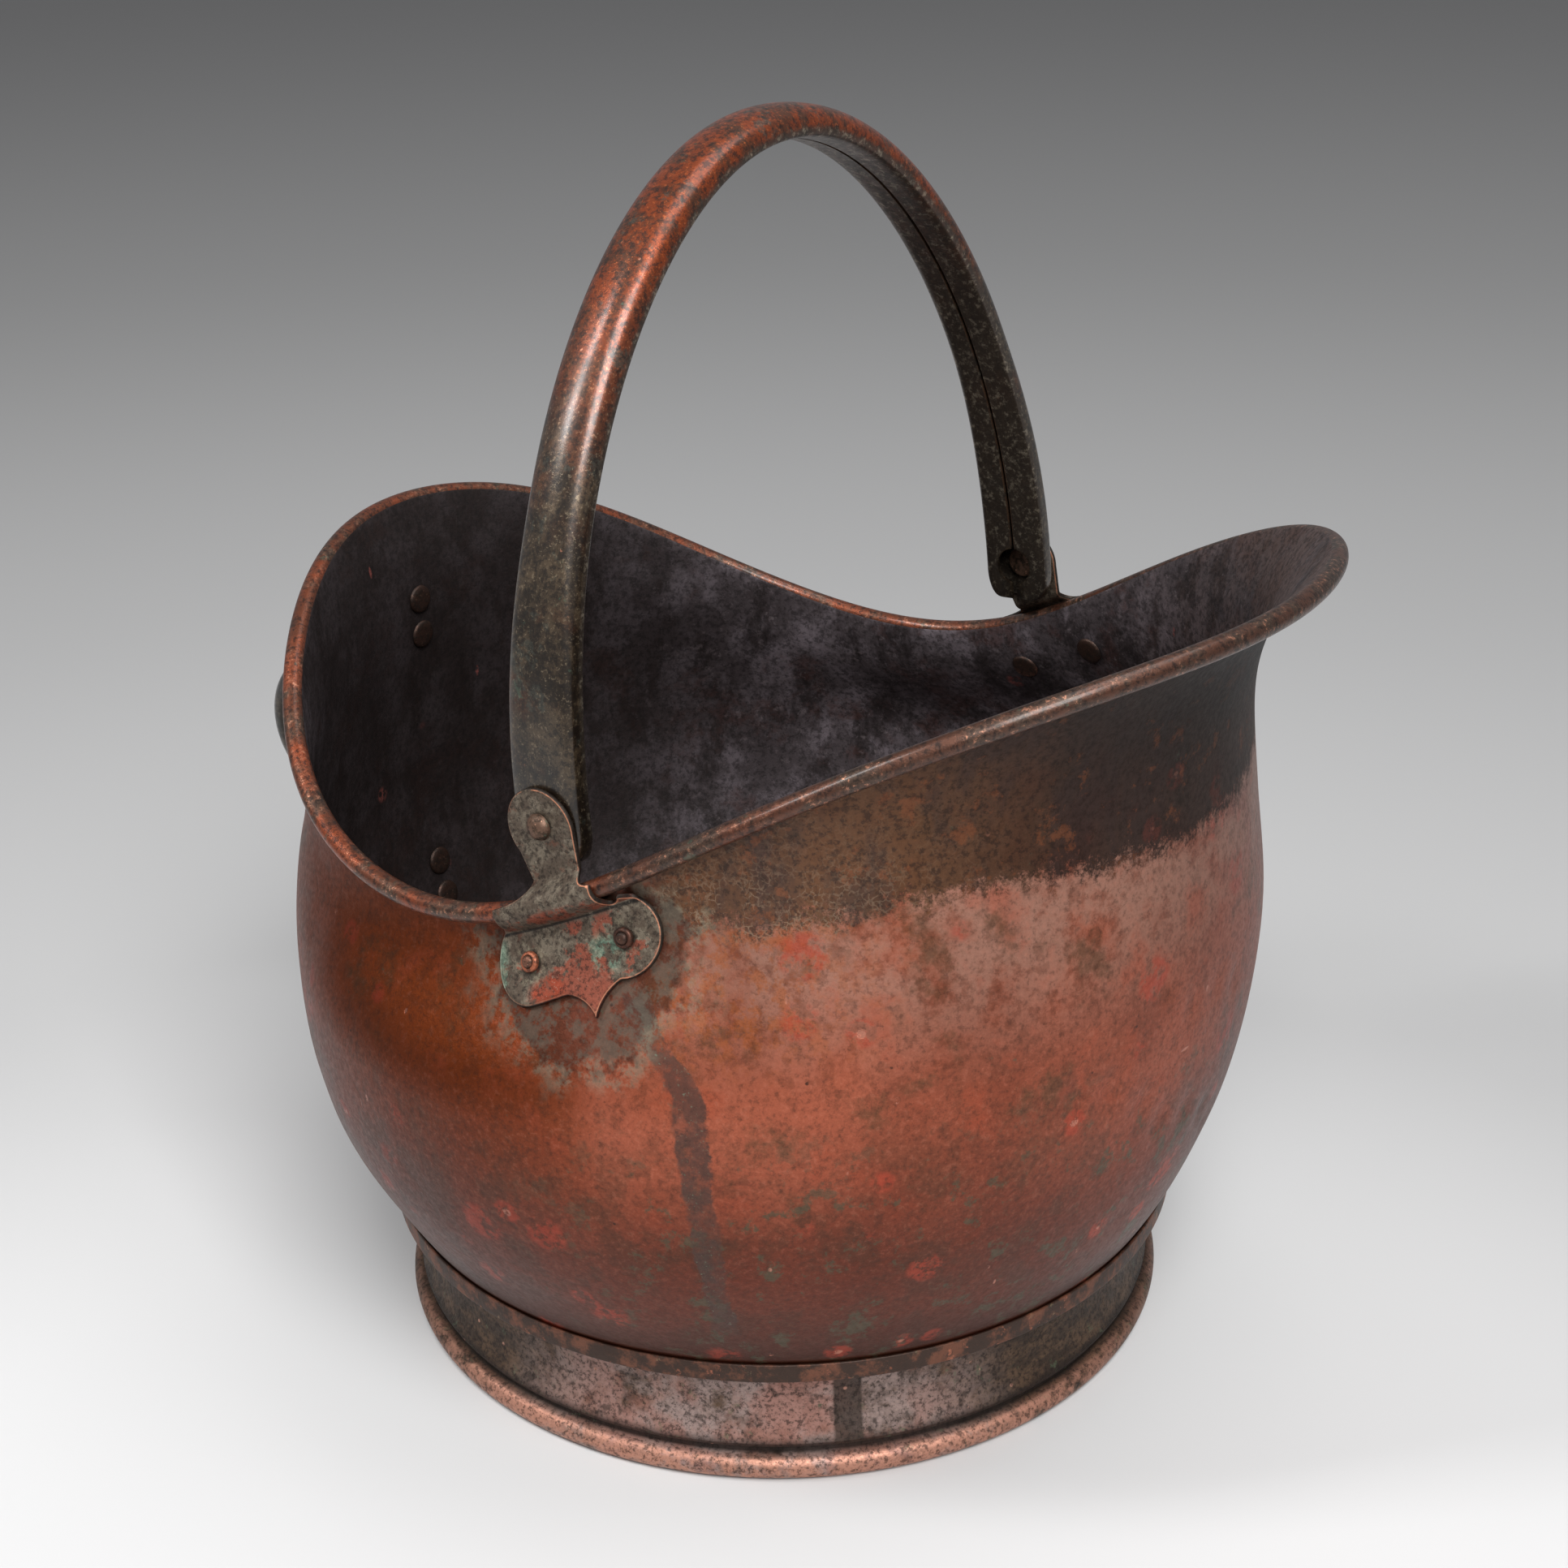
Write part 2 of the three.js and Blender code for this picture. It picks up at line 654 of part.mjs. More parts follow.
// The sheet before it is cut out: from the ear's top down, over the bead, in under it and down the wall.
function bentBracketSheet(side) {
  const columns = 8;
  const halfReach = 40;
  const rows = [];
  for (let column = 0; column <= columns; column++) {
    const x = bracketForward + halfReach * ((2 * column) / columns - 1);
    const middle = bracketLine(x, side);
    const faces = [1, -1].map((face) =>
      middle.map((point, at) => {
        const before = middle[Math.max(0, at - 1)];
        const after = middle[Math.min(middle.length - 1, at + 1)];
        const run = new THREE.Vector2().subVectors(after, before).normalize();
        const offset = (face * bracketSheet) / 2;
        return new THREE.Vector3(x, side * (point.x - run.y * offset), point.y + run.x * offset);
      }),
    );
    rows.push([...faces[0], ...faces[1].reverse()]);
  }
  return solidFromRows(rows, false);
}

// The middle of the sheet at one X, as points of distance out and height.
function bracketLine(x, side) {
  const [beadOut, beadUp] = beadAtX(x);
  const saddle = rimBeadRadius + seatGap + bracketSheet / 2;
  const stretch = 1 / Math.cos(bracketSlope);
  const earOut = earInside + bracketSheet / 2;
  const earTop = pivot.y + earRadius * 2;
  const earFoot = beadUp + saddle * stretch + earFootRise;
  const line = [new THREE.Vector2(earOut, earTop), new THREE.Vector2(earOut, earFoot)];
  const steps = 6;
  for (let step = 0; step <= steps; step++) {
    const angle = radians(saddleStart - ((saddleStart + saddleTuck) * step) / steps);
    const up = beadUp + saddle * stretch * Math.sin(angle);
    line.push(new THREE.Vector2(beadOut + saddle * Math.cos(angle), up));
  }
  const wallTop = line[line.length - 1].y - saddleTuckDrop;
  const wallSteps = 5;
  const wallReach = plateTipDrop + plateClear;
  for (let step = 0; step <= wallSteps; step++) {
    const height = wallTop - (wallReach * step) / wallSteps;
    const azimuth = azimuthAtX(x, height, side);
    const lean = wallNormal(azimuth, height);
    const clear = (seatGap + bracketSheet / 2) / Math.abs(lean.y);
    line.push(new THREE.Vector2(Math.abs(wallPoint(azimuth, height).y) + clear, height));
  }
  return line;
}

// The outline seen from the side: ear, neck, saddle, two lobes and the point between them.
function bracketOutline() {
  const shoulder = radians(68);
  const lobeTop = lobeRadius * Math.sin(shoulder) - lobeDrop;
  const [backLobe, frontLobe] = [plateOffset - lobeSpacing / 2, plateOffset + lobeSpacing / 2];
  const [neckBack, neckFront] = [neckOffset - neckHalfWidth, neckOffset + neckHalfWidth];
  const tip = new THREE.Vector2(plateTipOffset, -plateTipDrop);
  const hollow = -plateHollowDrop - hollowCurve;
  const shape = new THREE.Shape();
  shape.moveTo(tip.x, tip.y);
  shape.quadraticCurveTo(tip.x + tipCurve, hollow, tip.x + plateHollow, -plateHollowDrop);
  shape.lineTo(frontLobe, -lobeDrop - lobeRadius);
  shape.absarc(frontLobe, -lobeDrop, lobeRadius, radians(-90), shoulder, false);
  shape.quadraticCurveTo(saddleHalfWidth, -saddleBelow - saddleCurve, saddleHalfWidth, -saddleBelow);
  shape.lineTo(saddleHalfWidth, saddleAbove);
  shape.quadraticCurveTo(neckFront, saddleAbove, neckFront, neckHeight);
  shape.absarc(earOffset, earAboveBead, earRadius, radians(-earOpening), radians(180 + earOpening), false);
  shape.lineTo(neckBack, neckHeight);
  shape.quadraticCurveTo(neckBack, saddleAbove, -saddleHalfWidth, saddleAbove);
  shape.lineTo(-saddleHalfWidth, -saddleBelow);
  const backShoulder = backLobe - lobeRadius * Math.cos(shoulder);
  shape.quadraticCurveTo(-saddleHalfWidth, -saddleBelow - saddleCurve, backShoulder, lobeTop);
  shape.absarc(backLobe, -lobeDrop, lobeRadius, Math.PI - shoulder, radians(270), false);
  shape.lineTo(tip.x - plateHollow, -plateHollowDrop);
  shape.quadraticCurveTo(tip.x - tipCurve, hollow, tip.x, tip.y);
  return new THREE.Shape(shape.getPoints(outlineSteps).map((point) => onBracket(point.x, point.y)));
}

function bracketRivetPlaces(side) {
  return [-1, 1].map((end) => {
    const place = onBracket(plateOffset + (end * bracketRivetSpacing) / 2, -bracketRivetDrop);
    const azimuth = azimuthAtX(place.x, place.y, side);
    return { point: wallPoint(azimuth, place.y), normal: wallNormal(azimuth, place.y) };
  });
}

function makeBracket(side) {
  const sheet = toSolid(bentBracketSheet(side));
  const depth = 60;
  const cutter = new THREE.ExtrudeGeometry(bracketOutline(), { depth, bevelEnabled: false });
  cutter.rotateX(Math.PI / 2);
  cutter.translate(0, side * bracketBead[0] + depth / 2, 0);
  const earMiddle = new THREE.Vector3(pivot.x, side * earInside, pivot.y);
  const outward = new THREE.Vector3(0, side, 0);
  const pivotHole = drill(pivotShankRadius + pivotPlay, bracketSheet * 5, earMiddle, outward);
  const blank = toGeometry(sheet.intersect(toSolid(cutter)));
  return cut(blank, [pivotHole, ...rivetHoles(bracketRivetPlaces(side))]);
}

// ---------------------------------------------------------------- rivets and roves

// Heights are measured outward from the wall's outer face. The rove lies on top of the plate.
function makeRivet({ point, normal }, plateTop) {
  const head = -shellSheet - rivetHeadGap;
  const peen = plateTop + roveGap + roveHeight;
  const outline = [
    [0, head - rivetHeadHeight],
    [rivetHeadRadius - rivetHeadChamfer, head - rivetHeadHeight],
    [rivetHeadRadius, head - rivetHeadHeight + rivetHeadChamfer],
    [rivetHeadRadius, head],
    [rivetShankRadius, head],
    [rivetPeenRadius, peen + rivetPeenHeight / 2],
    [rivetPeenRadius - rivetPeenChamfer, peen + rivetPeenHeight],
    [0, peen + rivetPeenHeight],
  ];
  const points = outline.map(([radius, height]) => new THREE.Vector2(radius, height));
  return layAlong(new THREE.LatheGeometry(points, fastenerSides), point, normal);
}

function makeRove({ point, normal }, plateTop) {
  const seat = plateTop + roveGap;
  const bore = rivetShankRadius + rivetPlay;
  const outline = [
    [bore, seat],
    [roveRadius, seat],
    [roveRadius, seat + roveHeight - roveChamfer],
    [roveRadius - roveChamfer, seat + roveHeight],
    [bore, seat + roveHeight],
    [bore, seat],
  ];
  const points = outline.map(([radius, height]) => new THREE.Vector2(radius, height));
  return layAlong(new THREE.LatheGeometry(points, fastenerSides), point, normal);
}

// ---------------------------------------------------------------- rear handle

const rearAzimuth = Math.PI;
const rearCrownReach = bellyRadius + rearStandOff;
const rearPadSeat = rearPadGap + rearPadThickness - domeOf(rearPadThickness, 1);

// A point beside the back wall, at a distance out from its face: [distance back, height].
function besideBackWall(height, distance) {
  const normal = wallNormal(rearAzimuth, height);
  return [wallRadius(rearAzimuth, height) - normal.x * distance, height + normal.z * distance];
}

// The middle line of the upper (1) or lower (-1) pad, from its tip to its root.
function rearPadLine(end) {
  const root = rearRootHeight(end) + end * rearRootCurve;
  const stops = 3;
  const line = [];
  for (let stop = stops; stop >= 0; stop--) {
    line.push(new THREE.Vector2(...besideBackWall(root + (end * rearPadLength * stop) / stops, rearPadSeat)));
  }
  return line;
}

// The strap's middle line in the plane of symmetry: down the upper pad, out, round the crown, back in and
// down the lower pad.
function rearPath() {
  const crown = rearCrownReach - domeOf(rearGripThickness, 0) - rearCrownRadius;
  const lowerPad = rearPadLine(-1).reverse();
  const [topBack, footBack] = [1, -1].map((end) => besideBackWall(rearRootHeight(end), rearPadSeat)[0]);
  const path = new THREE.Path(rearPadLine(1));
  path.quadraticCurveTo(topBack, rearRootHeight(1), topBack + rearRootBend, rearRootHeight(1) - rearLegStart);
  path.lineTo(crown, rearMiddleHeight + rearCrownRadius);
  path.absarc(crown, rearMiddleHeight, rearCrownRadius, Math.PI / 2, -Math.PI / 2, true);
  path.lineTo(footBack + rearRootBend, rearRootHeight(-1) + rearLegStart);
  path.quadraticCurveTo(footBack, rearRootHeight(-1), lowerPad[0].x, lowerPad[0].y);
  lowerPad.slice(1).forEach((point) => path.lineTo(point.x, point.y));
  return path;
}

// Height at which the upper (1) or lower (-1) leg would meet the wall.
function rearRootHeight(end) {
  return rearMiddleHeight + end * (rearCrownRadius + rearLegSpread / 2);
}

function rearRivetPlaces() {
  return [1, -1].flatMap((end) =>
    [0, 1].map((turn) => {
      const height = rearRootHeight(end) + end * (rearRootCurve + rearRivetEdge + turn * rearRivetPitch);
      return { point: wallPoint(rearAzimuth, height), normal: wallNormal(rearAzimuth, height) };
    }),
  );
}

function makeRearHandle(rivetPlaces) {
  const path = rearPath();
  const length = path.getLength();
  const rows = [];
  for (let step = 0; step <= rearSteps; step++) {
    const share = step / rearSteps;
    const point = path.getPointAt(share);
    const tangent = path.getTangentAt(share);
    const fromEnd = Math.min(share, 1 - share) * length;
    const beyondPad = fromEnd - rearPadLength;
    const grip = THREE.MathUtils.smoothstep(beyondPad, rearSwellStart, rearSwellEnd);
    const tip = roundedEnd(fromEnd / rearPadTip, rearPadTipWidth);
    const width = THREE.MathUtils.lerp(rearPadWidth * tip, rearGripWidth, grip);
    const thickness = THREE.MathUtils.lerp(rearPadThickness, rearGripThickness, grip);
    const place = {
      point: new THREE.Vector3(-point.x, 0, point.y),
      across: new THREE.Vector3(0, 1, 0),
      outward: new THREE.Vector3(tangent.y, 0, tangent.x),
    };
    rows.push(strapSection(place, width, thickness, rearSheet, rearSeam, 1 - grip));
  }
  return cut(solidFromRows(rows, false), rivetHoles(rivetPlaces));
}

// ---------------------------------------------------------------- materials, from the photograph's colours

const redCopper = { color: 0x8a4a35, roughness: 0.45, metalness: 0.9 };
const darkCopper = { color: 0x5b4a3c, roughness: 0.5, metalness: 0.9 };
const brightCopper = { color: 0xa85a3a, roughness: 0.4, metalness: 0.9 };
const ironWire = { color: 0x4a4642, roughness: 0.6, metalness: 0.8 };

const scuttle = new THREE.Group();

function addPiece(name, geometry, finish) {
  geometry.computeVertexNormals();
  const mesh = new THREE.Mesh(geometry, new THREE.MeshStandardMaterial(finish));
  mesh.name = name;
  scuttle.add(mesh);
}

const sides = { near: -1, far: 1 };
const bracketTop = seatGap + bracketSheet;
const rearPadTop = rearPadGap + rearPadThickness;
const rearRivets = rearRivetPlaces();
const sideRivets = Object.values(sides).flatMap((side) => bracketRivetPlaces(side));

addPiece("body_shell", makeBodyShell([...sideRivets, ...rearRivets]), redCopper);
addPiece("rim_wire", makeRimWire(), ironWire);
addPiece("base_disc", makeBaseDisc(), darkCopper);
addPiece("foot_ring", makeFootRing(), darkCopper);
addPiece("foot_wire", makeFootWire(), ironWire);
addPiece("bail_handle", makeBail(), darkCopper);

for (const [name, side] of Object.entries(sides)) {
  addPiece(`${name}_bracket`, makeBracket(side), darkCopper);
  addPiece(`${name}_pivot_rivet`, makePivotRivet(side), brightCopper);
  bracketRivetPlaces(side).forEach((place, at) => {
    addPiece(`${name}_bracket_rivet_${at + 1}`, makeRivet(place, bracketTop), brightCopper);
    addPiece(`${name}_bracket_rove_${at + 1}`, makeRove(place, bracketTop), brightCopper);
  });
}

addPiece("rear_handle", makeRearHandle(rearRivets), darkCopper);
rearRivets.forEach((place, at) => {
  addPiece(`rear_handle_rivet_${at + 1}`, makeRivet(place, rearPadTop), brightCopper);
  addPiece(`rear_handle_rove_${at + 1}`, makeRove(place, rearPadTop), brightCopper);
});

// Spout lip and rear crown end up equally far from the origin.
const spoutReach = roundMouth(mouthRadius, 0) + rimBeadRadius;
scuttle.position.x = (rearCrownReach - spoutReach) / 2;

export default scuttle;
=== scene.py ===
# %% [markdown]
# # A helmet coal scuttle in old copper
#
# A helmet scuttle is a bellied bucket, high at the hood behind and drawn out to a spout in front. A smith beats
# it out of sheet copper, rolls its edge over an iron wire, folds a floor into its foot and rivets on a swinging
# bail and a tipping handle. This lesson dresses the solid model of one: its pieces are made again with fine
# curves, dents and worn edges, and each gets the colours that a century beside the hearth gave it.
#
# The solid model comes first, as a frame. It says where everything is, so nothing has to be fitted by eye.

import math

import bmesh
import bpy
import numpy as np
from mathutils import Matrix, Vector
from mathutils.geometry import delaunay_2d_cdt


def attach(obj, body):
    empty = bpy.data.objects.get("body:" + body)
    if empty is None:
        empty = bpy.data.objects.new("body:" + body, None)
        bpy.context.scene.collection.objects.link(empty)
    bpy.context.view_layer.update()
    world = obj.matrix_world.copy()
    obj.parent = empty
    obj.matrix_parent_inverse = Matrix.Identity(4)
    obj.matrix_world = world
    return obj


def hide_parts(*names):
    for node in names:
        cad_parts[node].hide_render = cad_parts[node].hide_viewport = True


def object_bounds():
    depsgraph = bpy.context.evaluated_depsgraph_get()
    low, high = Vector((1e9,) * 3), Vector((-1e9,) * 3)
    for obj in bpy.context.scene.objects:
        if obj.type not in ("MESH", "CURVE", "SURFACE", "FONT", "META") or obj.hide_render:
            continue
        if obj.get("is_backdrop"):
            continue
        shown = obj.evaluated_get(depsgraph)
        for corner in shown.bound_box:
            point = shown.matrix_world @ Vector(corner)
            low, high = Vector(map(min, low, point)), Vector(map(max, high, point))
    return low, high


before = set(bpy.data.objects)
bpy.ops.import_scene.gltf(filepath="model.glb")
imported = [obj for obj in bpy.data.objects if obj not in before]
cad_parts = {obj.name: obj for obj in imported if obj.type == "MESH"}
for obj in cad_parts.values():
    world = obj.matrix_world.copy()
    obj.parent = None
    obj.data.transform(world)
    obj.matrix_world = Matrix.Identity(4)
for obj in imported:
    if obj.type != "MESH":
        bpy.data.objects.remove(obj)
cad_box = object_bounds()
print("box in metres", [[round(value, 4) for value in corner] for corner in cad_box])

# %% [markdown]
# ## The camera
#
# The scuttle is seen from its near side, a little towards the spout and from above. A lens that is rather long
# keeps the mouth's ellipse and the foot's ellipse nearly alike, as they are on the real one. Colours are shown
# as they are written, without a film's soft curve.

# %% Camera
def add_object(name, data):
    added = bpy.data.objects.new(name, data)
    bpy.context.scene.collection.objects.link(added)
    return added


sight = Matrix(
    (
        (0.8131, -0.2287, 0.5353, 0.51475),
        (0.5819, 0.3444, -0.7368, -0.6729),
        (-0.0159, 0.9106, 0.4131, 0.5702),
        (0, 0, 0, 1),
    )
)
camera_data = bpy.data.cameras.new("camera")
camera_data.sensor_width = 36
camera_data.lens = 59.54
camera_data.shift_x = 0.0049
camera = add_object("camera", camera_data)
camera.matrix_world = sight
bpy.context.scene.camera = camera
bpy.context.scene.view_settings.view_transform = "Standard"
print("camera at", [round(value, 3) for value in sight.translation])

# %% [markdown]
# ## Writing nodes as sums
#
# Materials and shapes below are node trees. Laid out by hand, a simple sum takes a dozen nodes and twice as many
# links. So one small class stands for a node's output and answers to +, -, * and /: each sign adds a Math node.
# A second class holds the tree, and has one method that makes any other node.

# %% Sockets that can be added and multiplied
class Socket:
    """A node's output that Python's own signs work on."""

    def __init__(self, graph, node, output):
        self.graph, self.node, self.output = graph, node, output

    def beside(self, name):
        """Another output of the same node."""
        return Socket(self.graph, self.node, self.node.outputs[name])

    def __add__(self, other):
        return self.graph.math("ADD", self, other)

    def __sub__(self, other):
        return self.graph.math("SUBTRACT", self, other)

    def __rsub__(self, other):
        return self.graph.math("SUBTRACT", other, self)

    def __mul__(self, other):
        return self.graph.math("MULTIPLY", self, other)

    def __truediv__(self, other):
        return self.graph.math("DIVIDE", self, other)

    def __pow__(self, other):
        return self.graph.math("POWER", self, other)

    __radd__ = __add__
    __rmul__ = __mul__

    def step(self, low, high):
        """Rises smoothly from 0 at low to 1 at high. Low may be the larger number."""
        if low > high:
            return 1 - self.step(high, low)
        settings = {"interpolation_type": "SMOOTHSTEP"}
        return self.graph.node("ShaderNodeMapRange", settings, {0: self, 1: low, 2: high})


class Graph:
    """A node tree that is written as Python."""

    def __init__(self, tree):
        self.tree = tree

    def node(self, kind, settings=None, inputs=None, output=0):
        made = self.tree.nodes.new(kind)
        for name, value in (settings or {}).items():
            setattr(made, name, value)
        for key, value in (inputs or {}).items():
            if isinstance(value, Socket):
                self.tree.links.new(value.output, made.inputs[key])
            else:
                made.inputs[key].default_value = value
        return Socket(self, made, made.outputs[output]) if made.outputs else made

    def math(self, operation, *values):
        return self.node("ShaderNodeMath", {"operation": operation}, dict(enumerate(values)))

    def split(self, vector):
        x = self.node("ShaderNodeSeparateXYZ", None, {0: vector})
        return x, x.beside("Y"), x.beside("Z")

    def join(self, x, y, z):
        return self.node("ShaderNodeCombineXYZ", None, {0: x, 1: y, 2: z})


# %% [markdown]
# ## Writing a finish
#
# Old copper is several layers at once: bright metal where hands and knocks keep it bare, red and brown oxide over
# the rest, soot, and green verdigris where damp sat. So a finish starts with one colour and lays others over it,
# each through a mask. The masks come from the same few patterns, given in millimetres: clouds, grains and flecks.

# %% A finish and its patterns
BELLY_AXIS = 25.75  # millimetres from the origin along X


def paint(code):
    """A colour written as on a paint chart, six hexadecimal digits, as linear light."""
    parts = [int(code[at : at + 2], 16) / 255 for at in (0, 2, 4)]
    return [part / 12.92 if part < 0.04 else ((part + 0.055) / 1.055) ** 2.4 for part in parts] + [1]


class Finish(Graph):
    def __init__(self, name):
        self.material = bpy.data.materials.new(name)
        self.material.use_nodes = True
        super().__init__(self.material.node_tree)
        self.tree.nodes.clear()
        self.place = self.node("ShaderNodeTexCoord", output="Object")
        self.x, self.y, self.z = self.split(self.place)

    def drawn(self, x, y, z):
        """The object's own coordinates, drawn out: a pattern is longer along an axis with a small number."""
        return self.node("ShaderNodeMapping", None, {"Vector": self.place, "Scale": (x, y, z)})

    def clouds(self, millimetres, detail=4, roughness=0.55, where=None):
        """Soft clouds of about that size, from 0 to 1 round 0.5."""
        sizes = {"Scale": 1000 / millimetres, "Detail": detail, "Roughness": roughness}
        return self.node("ShaderNodeTexNoise", None, {"Vector": where or self.place, **sizes})

    def flecks(self, millimetres, radius, share, where=None):
        """Round flecks on a loose grid of that pitch: their radius in pitches, and the share of places that
        have one."""
        inputs = {"Vector": where or self.place, "Scale": 1000 / millimetres}
        distance = self.node("ShaderNodeTexVoronoi", None, inputs)
        chance = self.split(distance.beside("Color"))[0]
        return distance.step(radius, radius * 0.5) * chance.step(1 - share, 1.02 - share)

    def cracks(self, millimetres, width):
        """The fine net of cracks in old wax: cells of about that size, bent so that none is straight."""
        bend = self.clouds(millimetres * 1.6, 3, 0.6).beside("Color")
        push = self.node("ShaderNodeVectorMath", {"operation": "SCALE"}, {0: bend, "Scale": millimetres * 0.0016})
        where = self.node("ShaderNodeVectorMath", {"operation": "ADD"}, {0: self.place, 1: push})
        inputs = {"Vector": where, "Scale": 1000 / millimetres}
        distance = self.node("ShaderNodeTexVoronoi", {"feature": "DISTANCE_TO_EDGE"}, inputs)
        return distance.step(width, width * 0.3)

    def lay(self, under, over, mask):
        """One colour laid over another where the mask is 1. Either is a socket or a paint's code."""
        under, over = [paint(colour) if isinstance(colour, str) else colour for colour in (under, over)]
        return self.node("ShaderNodeMix", {"data_type": "RGBA"}, {0: mask, 6: under, 7: over}, 2)

    def coats(self, colour, *coats):
        """Colours laid over the first one in turn, each given with its mask."""
        for over, mask in coats:
            colour = self.lay(colour, over, mask)
        return colour

    def shade(self, colour, amount):
        """A colour made darker or lighter by a value."""
        grey = self.join(amount, amount, amount)
        multiply = {"data_type": "RGBA", "blend_type": "MULTIPLY"}
        return self.node("ShaderNodeMix", multiply, {0: 1, 6: colour, 7: grey}, 2)

    def around_axis(self):
        """The turn round the belly's axis, in radians from the spout."""
        return self.math("ARCTAN2", self.y, self.x - BELLY_AXIS / 1000)

    def distance(self, across, up):
        """How far two measures lead from nought together."""
        return self.math("SQRT", across**2 + up**2)

    def mesh_value(self, name):
        """A value that the mesh carries from point to point."""
        return self.node("ShaderNodeAttribute", {"attribute_name": name}, None, "Fac")

    def surface(self, colour, roughness, metallic, relief, polish=0.0):
        """The finished surface. Relief is the height in millimetres. Polish is a clear skin of old wax."""
        bump = self.node("ShaderNodeBump", None, {"Strength": 1, "Distance": 0.001, "Height": relief})
        inputs = {"Base Color": colour, "Roughness": roughness, "Metallic": metallic, "Normal": bump}
        inputs |= {"Coat Weight": polish, "Coat Roughness": 0.22}
        shader = self.node("ShaderNodeBsdfPrincipled", None, inputs)
        self.node("ShaderNodeOutputMaterial", None, {"Surface": shader})
        return self.material


# %% [markdown]
# ## The studio
#
# The floor is a wide disc, pale round the scuttle and greyer further off, which gives a plain backdrop that grows
# darker upward. Past the photograph's view it turns pale again, so that it meets the sky without a line.
# It only reflects what falls on it, so it keeps the scuttle's shadow. The light is soft: a large lamp high on the
# spout's side, a narrow one on the hood's side that draws the long highlight down the bail, a weak one nearly
# overhead, and a plain grey sky. Copper shows what is round it, so the lamps' shapes matter as much as their
# strength.

# %% Floor
def floor_finish():
    finish = Finish("studio_floor")
    # Painted light: the floor is painted pale round the scuttle and greyer further off, a painted pool of light
    # and its falloff
    painted_pool = {0: finish.place, 1: (0.16, -0.2, 0)}
    away = finish.node("ShaderNodeVectorMath", {"operation": "DISTANCE"}, painted_pool, "Value")
    colour = finish.coats(
        "cecece",
        ("b2b2b2", away.step(0.3, 0.56)),
        ("a6a6a6", away.step(0.5, 1.05)),
        ("959595", away.step(0.8, 2.0)),
        ("919191", away.step(1.6, 3.8)),
        ("f4f4f4", away.step(3.9, 7.0)),
    )
    return finish.surface(colour, 0.9, 0.0, finish.clouds(3) * 0.02)


def new_mesh(name, points, faces=()):
    mesh = bpy.data.meshes.new(name)
    mesh.from_pydata(points, [], faces)
    return mesh


def make_floor():
    sides, first_ring, growth = 96, 0.2, 1.45
    rings = [first_ring * growth**ring for ring in range(11)]
    points = [(0, 0, 0)]
    for radius in rings:
        angles = [2 * math.pi * side / sides for side in range(sides)]
        points += [(radius * math.cos(angle), radius * math.sin(angle), 0) for angle in angles]
    faces = [(0, 1 + side, 1 + (side + 1) % sides) for side in range(sides)]
    for ring in range(len(rings) - 1):
        inner, outer = 1 + ring * sides, 1 + (ring + 1) * sides
        for side in range(sides):
            beside = (side + 1) % sides
            faces.append((inner + side, outer + side, outer + beside, inner + beside))
    mesh = new_mesh("studio_floor", points, faces)
    mesh.materials.append(floor_finish())
    floor = add_object("studio_floor", mesh)
    floor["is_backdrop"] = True
    print("floor reaches", round(rings[-1], 1), "m")


make_floor()


# %% Lamps and sky
def add_lamp(name, azimuth, elevation, distance, width, height, power):
    """A soft lamp that looks at the scuttle's middle. Angles in degrees from the spout's direction."""
    lamp = bpy.data.lights.new(name, "AREA")
    lamp.shape, lamp.size, lamp.size_y, lamp.energy = "RECTANGLE", width, height, power
    turn, rise = math.radians(azimuth), math.radians(elevation)
    outward = Vector((math.cos(turn) * math.cos(rise), math.sin(turn) * math.cos(rise), math.sin(rise)))
    lamp_object = add_object(name, lamp)
    lamp_object.location = Vector((0, 0, 0.2)) + outward * distance
    lamp_object.rotation_euler = outward.to_track_quat("Z", "Y").to_euler()


add_lamp("key_lamp", -40, 48, 3.0, 1.5, 1.5, 97)
add_lamp("hood_lamp", -130, 45, 2.0, 0.32, 0.9, 18)
add_lamp("top_lamp", 40, 72, 2.1, 1.2, 1.2, 14)

sky = bpy.data.worlds.new("studio_sky")
sky.use_nodes = True
background = sky.node_tree.nodes["Background"].inputs
background["Color"].default_value = (0.62, 0.62, 0.64, 1)
background["Strength"].default_value = 0.39
bpy.context.scene.world = sky
print("lamps", [light.name for light in bpy.data.lights])

# %% [markdown]
# ## From numbers to a mesh
#
# The solid model is drawn in millimetres round the belly's own axis. It was moved along the floor at the end, so
# that its origin lies midway between the spout's lip and the rear handle, and so are the points here. Most
# pieces are grids of points: rows that follow one another along a wall or a strap.

# %% Grids, smooth faces and welded seams
def link_piece(name, mesh, *finishes):
    for finish in finishes:
        mesh.materials.append(finish)
    return add_object(name, mesh)


def face_outward(mesh, corner=38):
    """Welds doubled points, turns all faces outward and keeps edges sharper than the corner, in degrees."""
    work = bmesh.new()
    work.from_mesh(mesh)
    bmesh.ops.remove_doubles(work, verts=work.verts, dist=1e-6)
    bmesh.ops.recalc_face_normals(work, faces=work.faces)
    if work.calc_volume(signed=True) < 0:
        bmesh.ops.reverse_faces(work, faces=work.faces)
    work.to_mesh(mesh)
    work.free()
    mesh.shade_smooth()
    mesh.set_sharp_from_angle(angle=math.radians(corner))
    return mesh


def grid_faces(rows, columns, close_rows):
    """Quads between the points of a grid. Each row closes on itself; the last row may meet the first."""
    row, column = np.meshgrid(np.arange(rows if close_rows else rows - 1), np.arange(columns), indexing="ij")
    above, beside = (row + 1) % rows, (column + 1) % columns
    corners = [row * columns + column, row * columns + beside, above * columns + beside, above * columns + column]
    return np.stack(corners, -1).reshape(-1, 4).tolist()


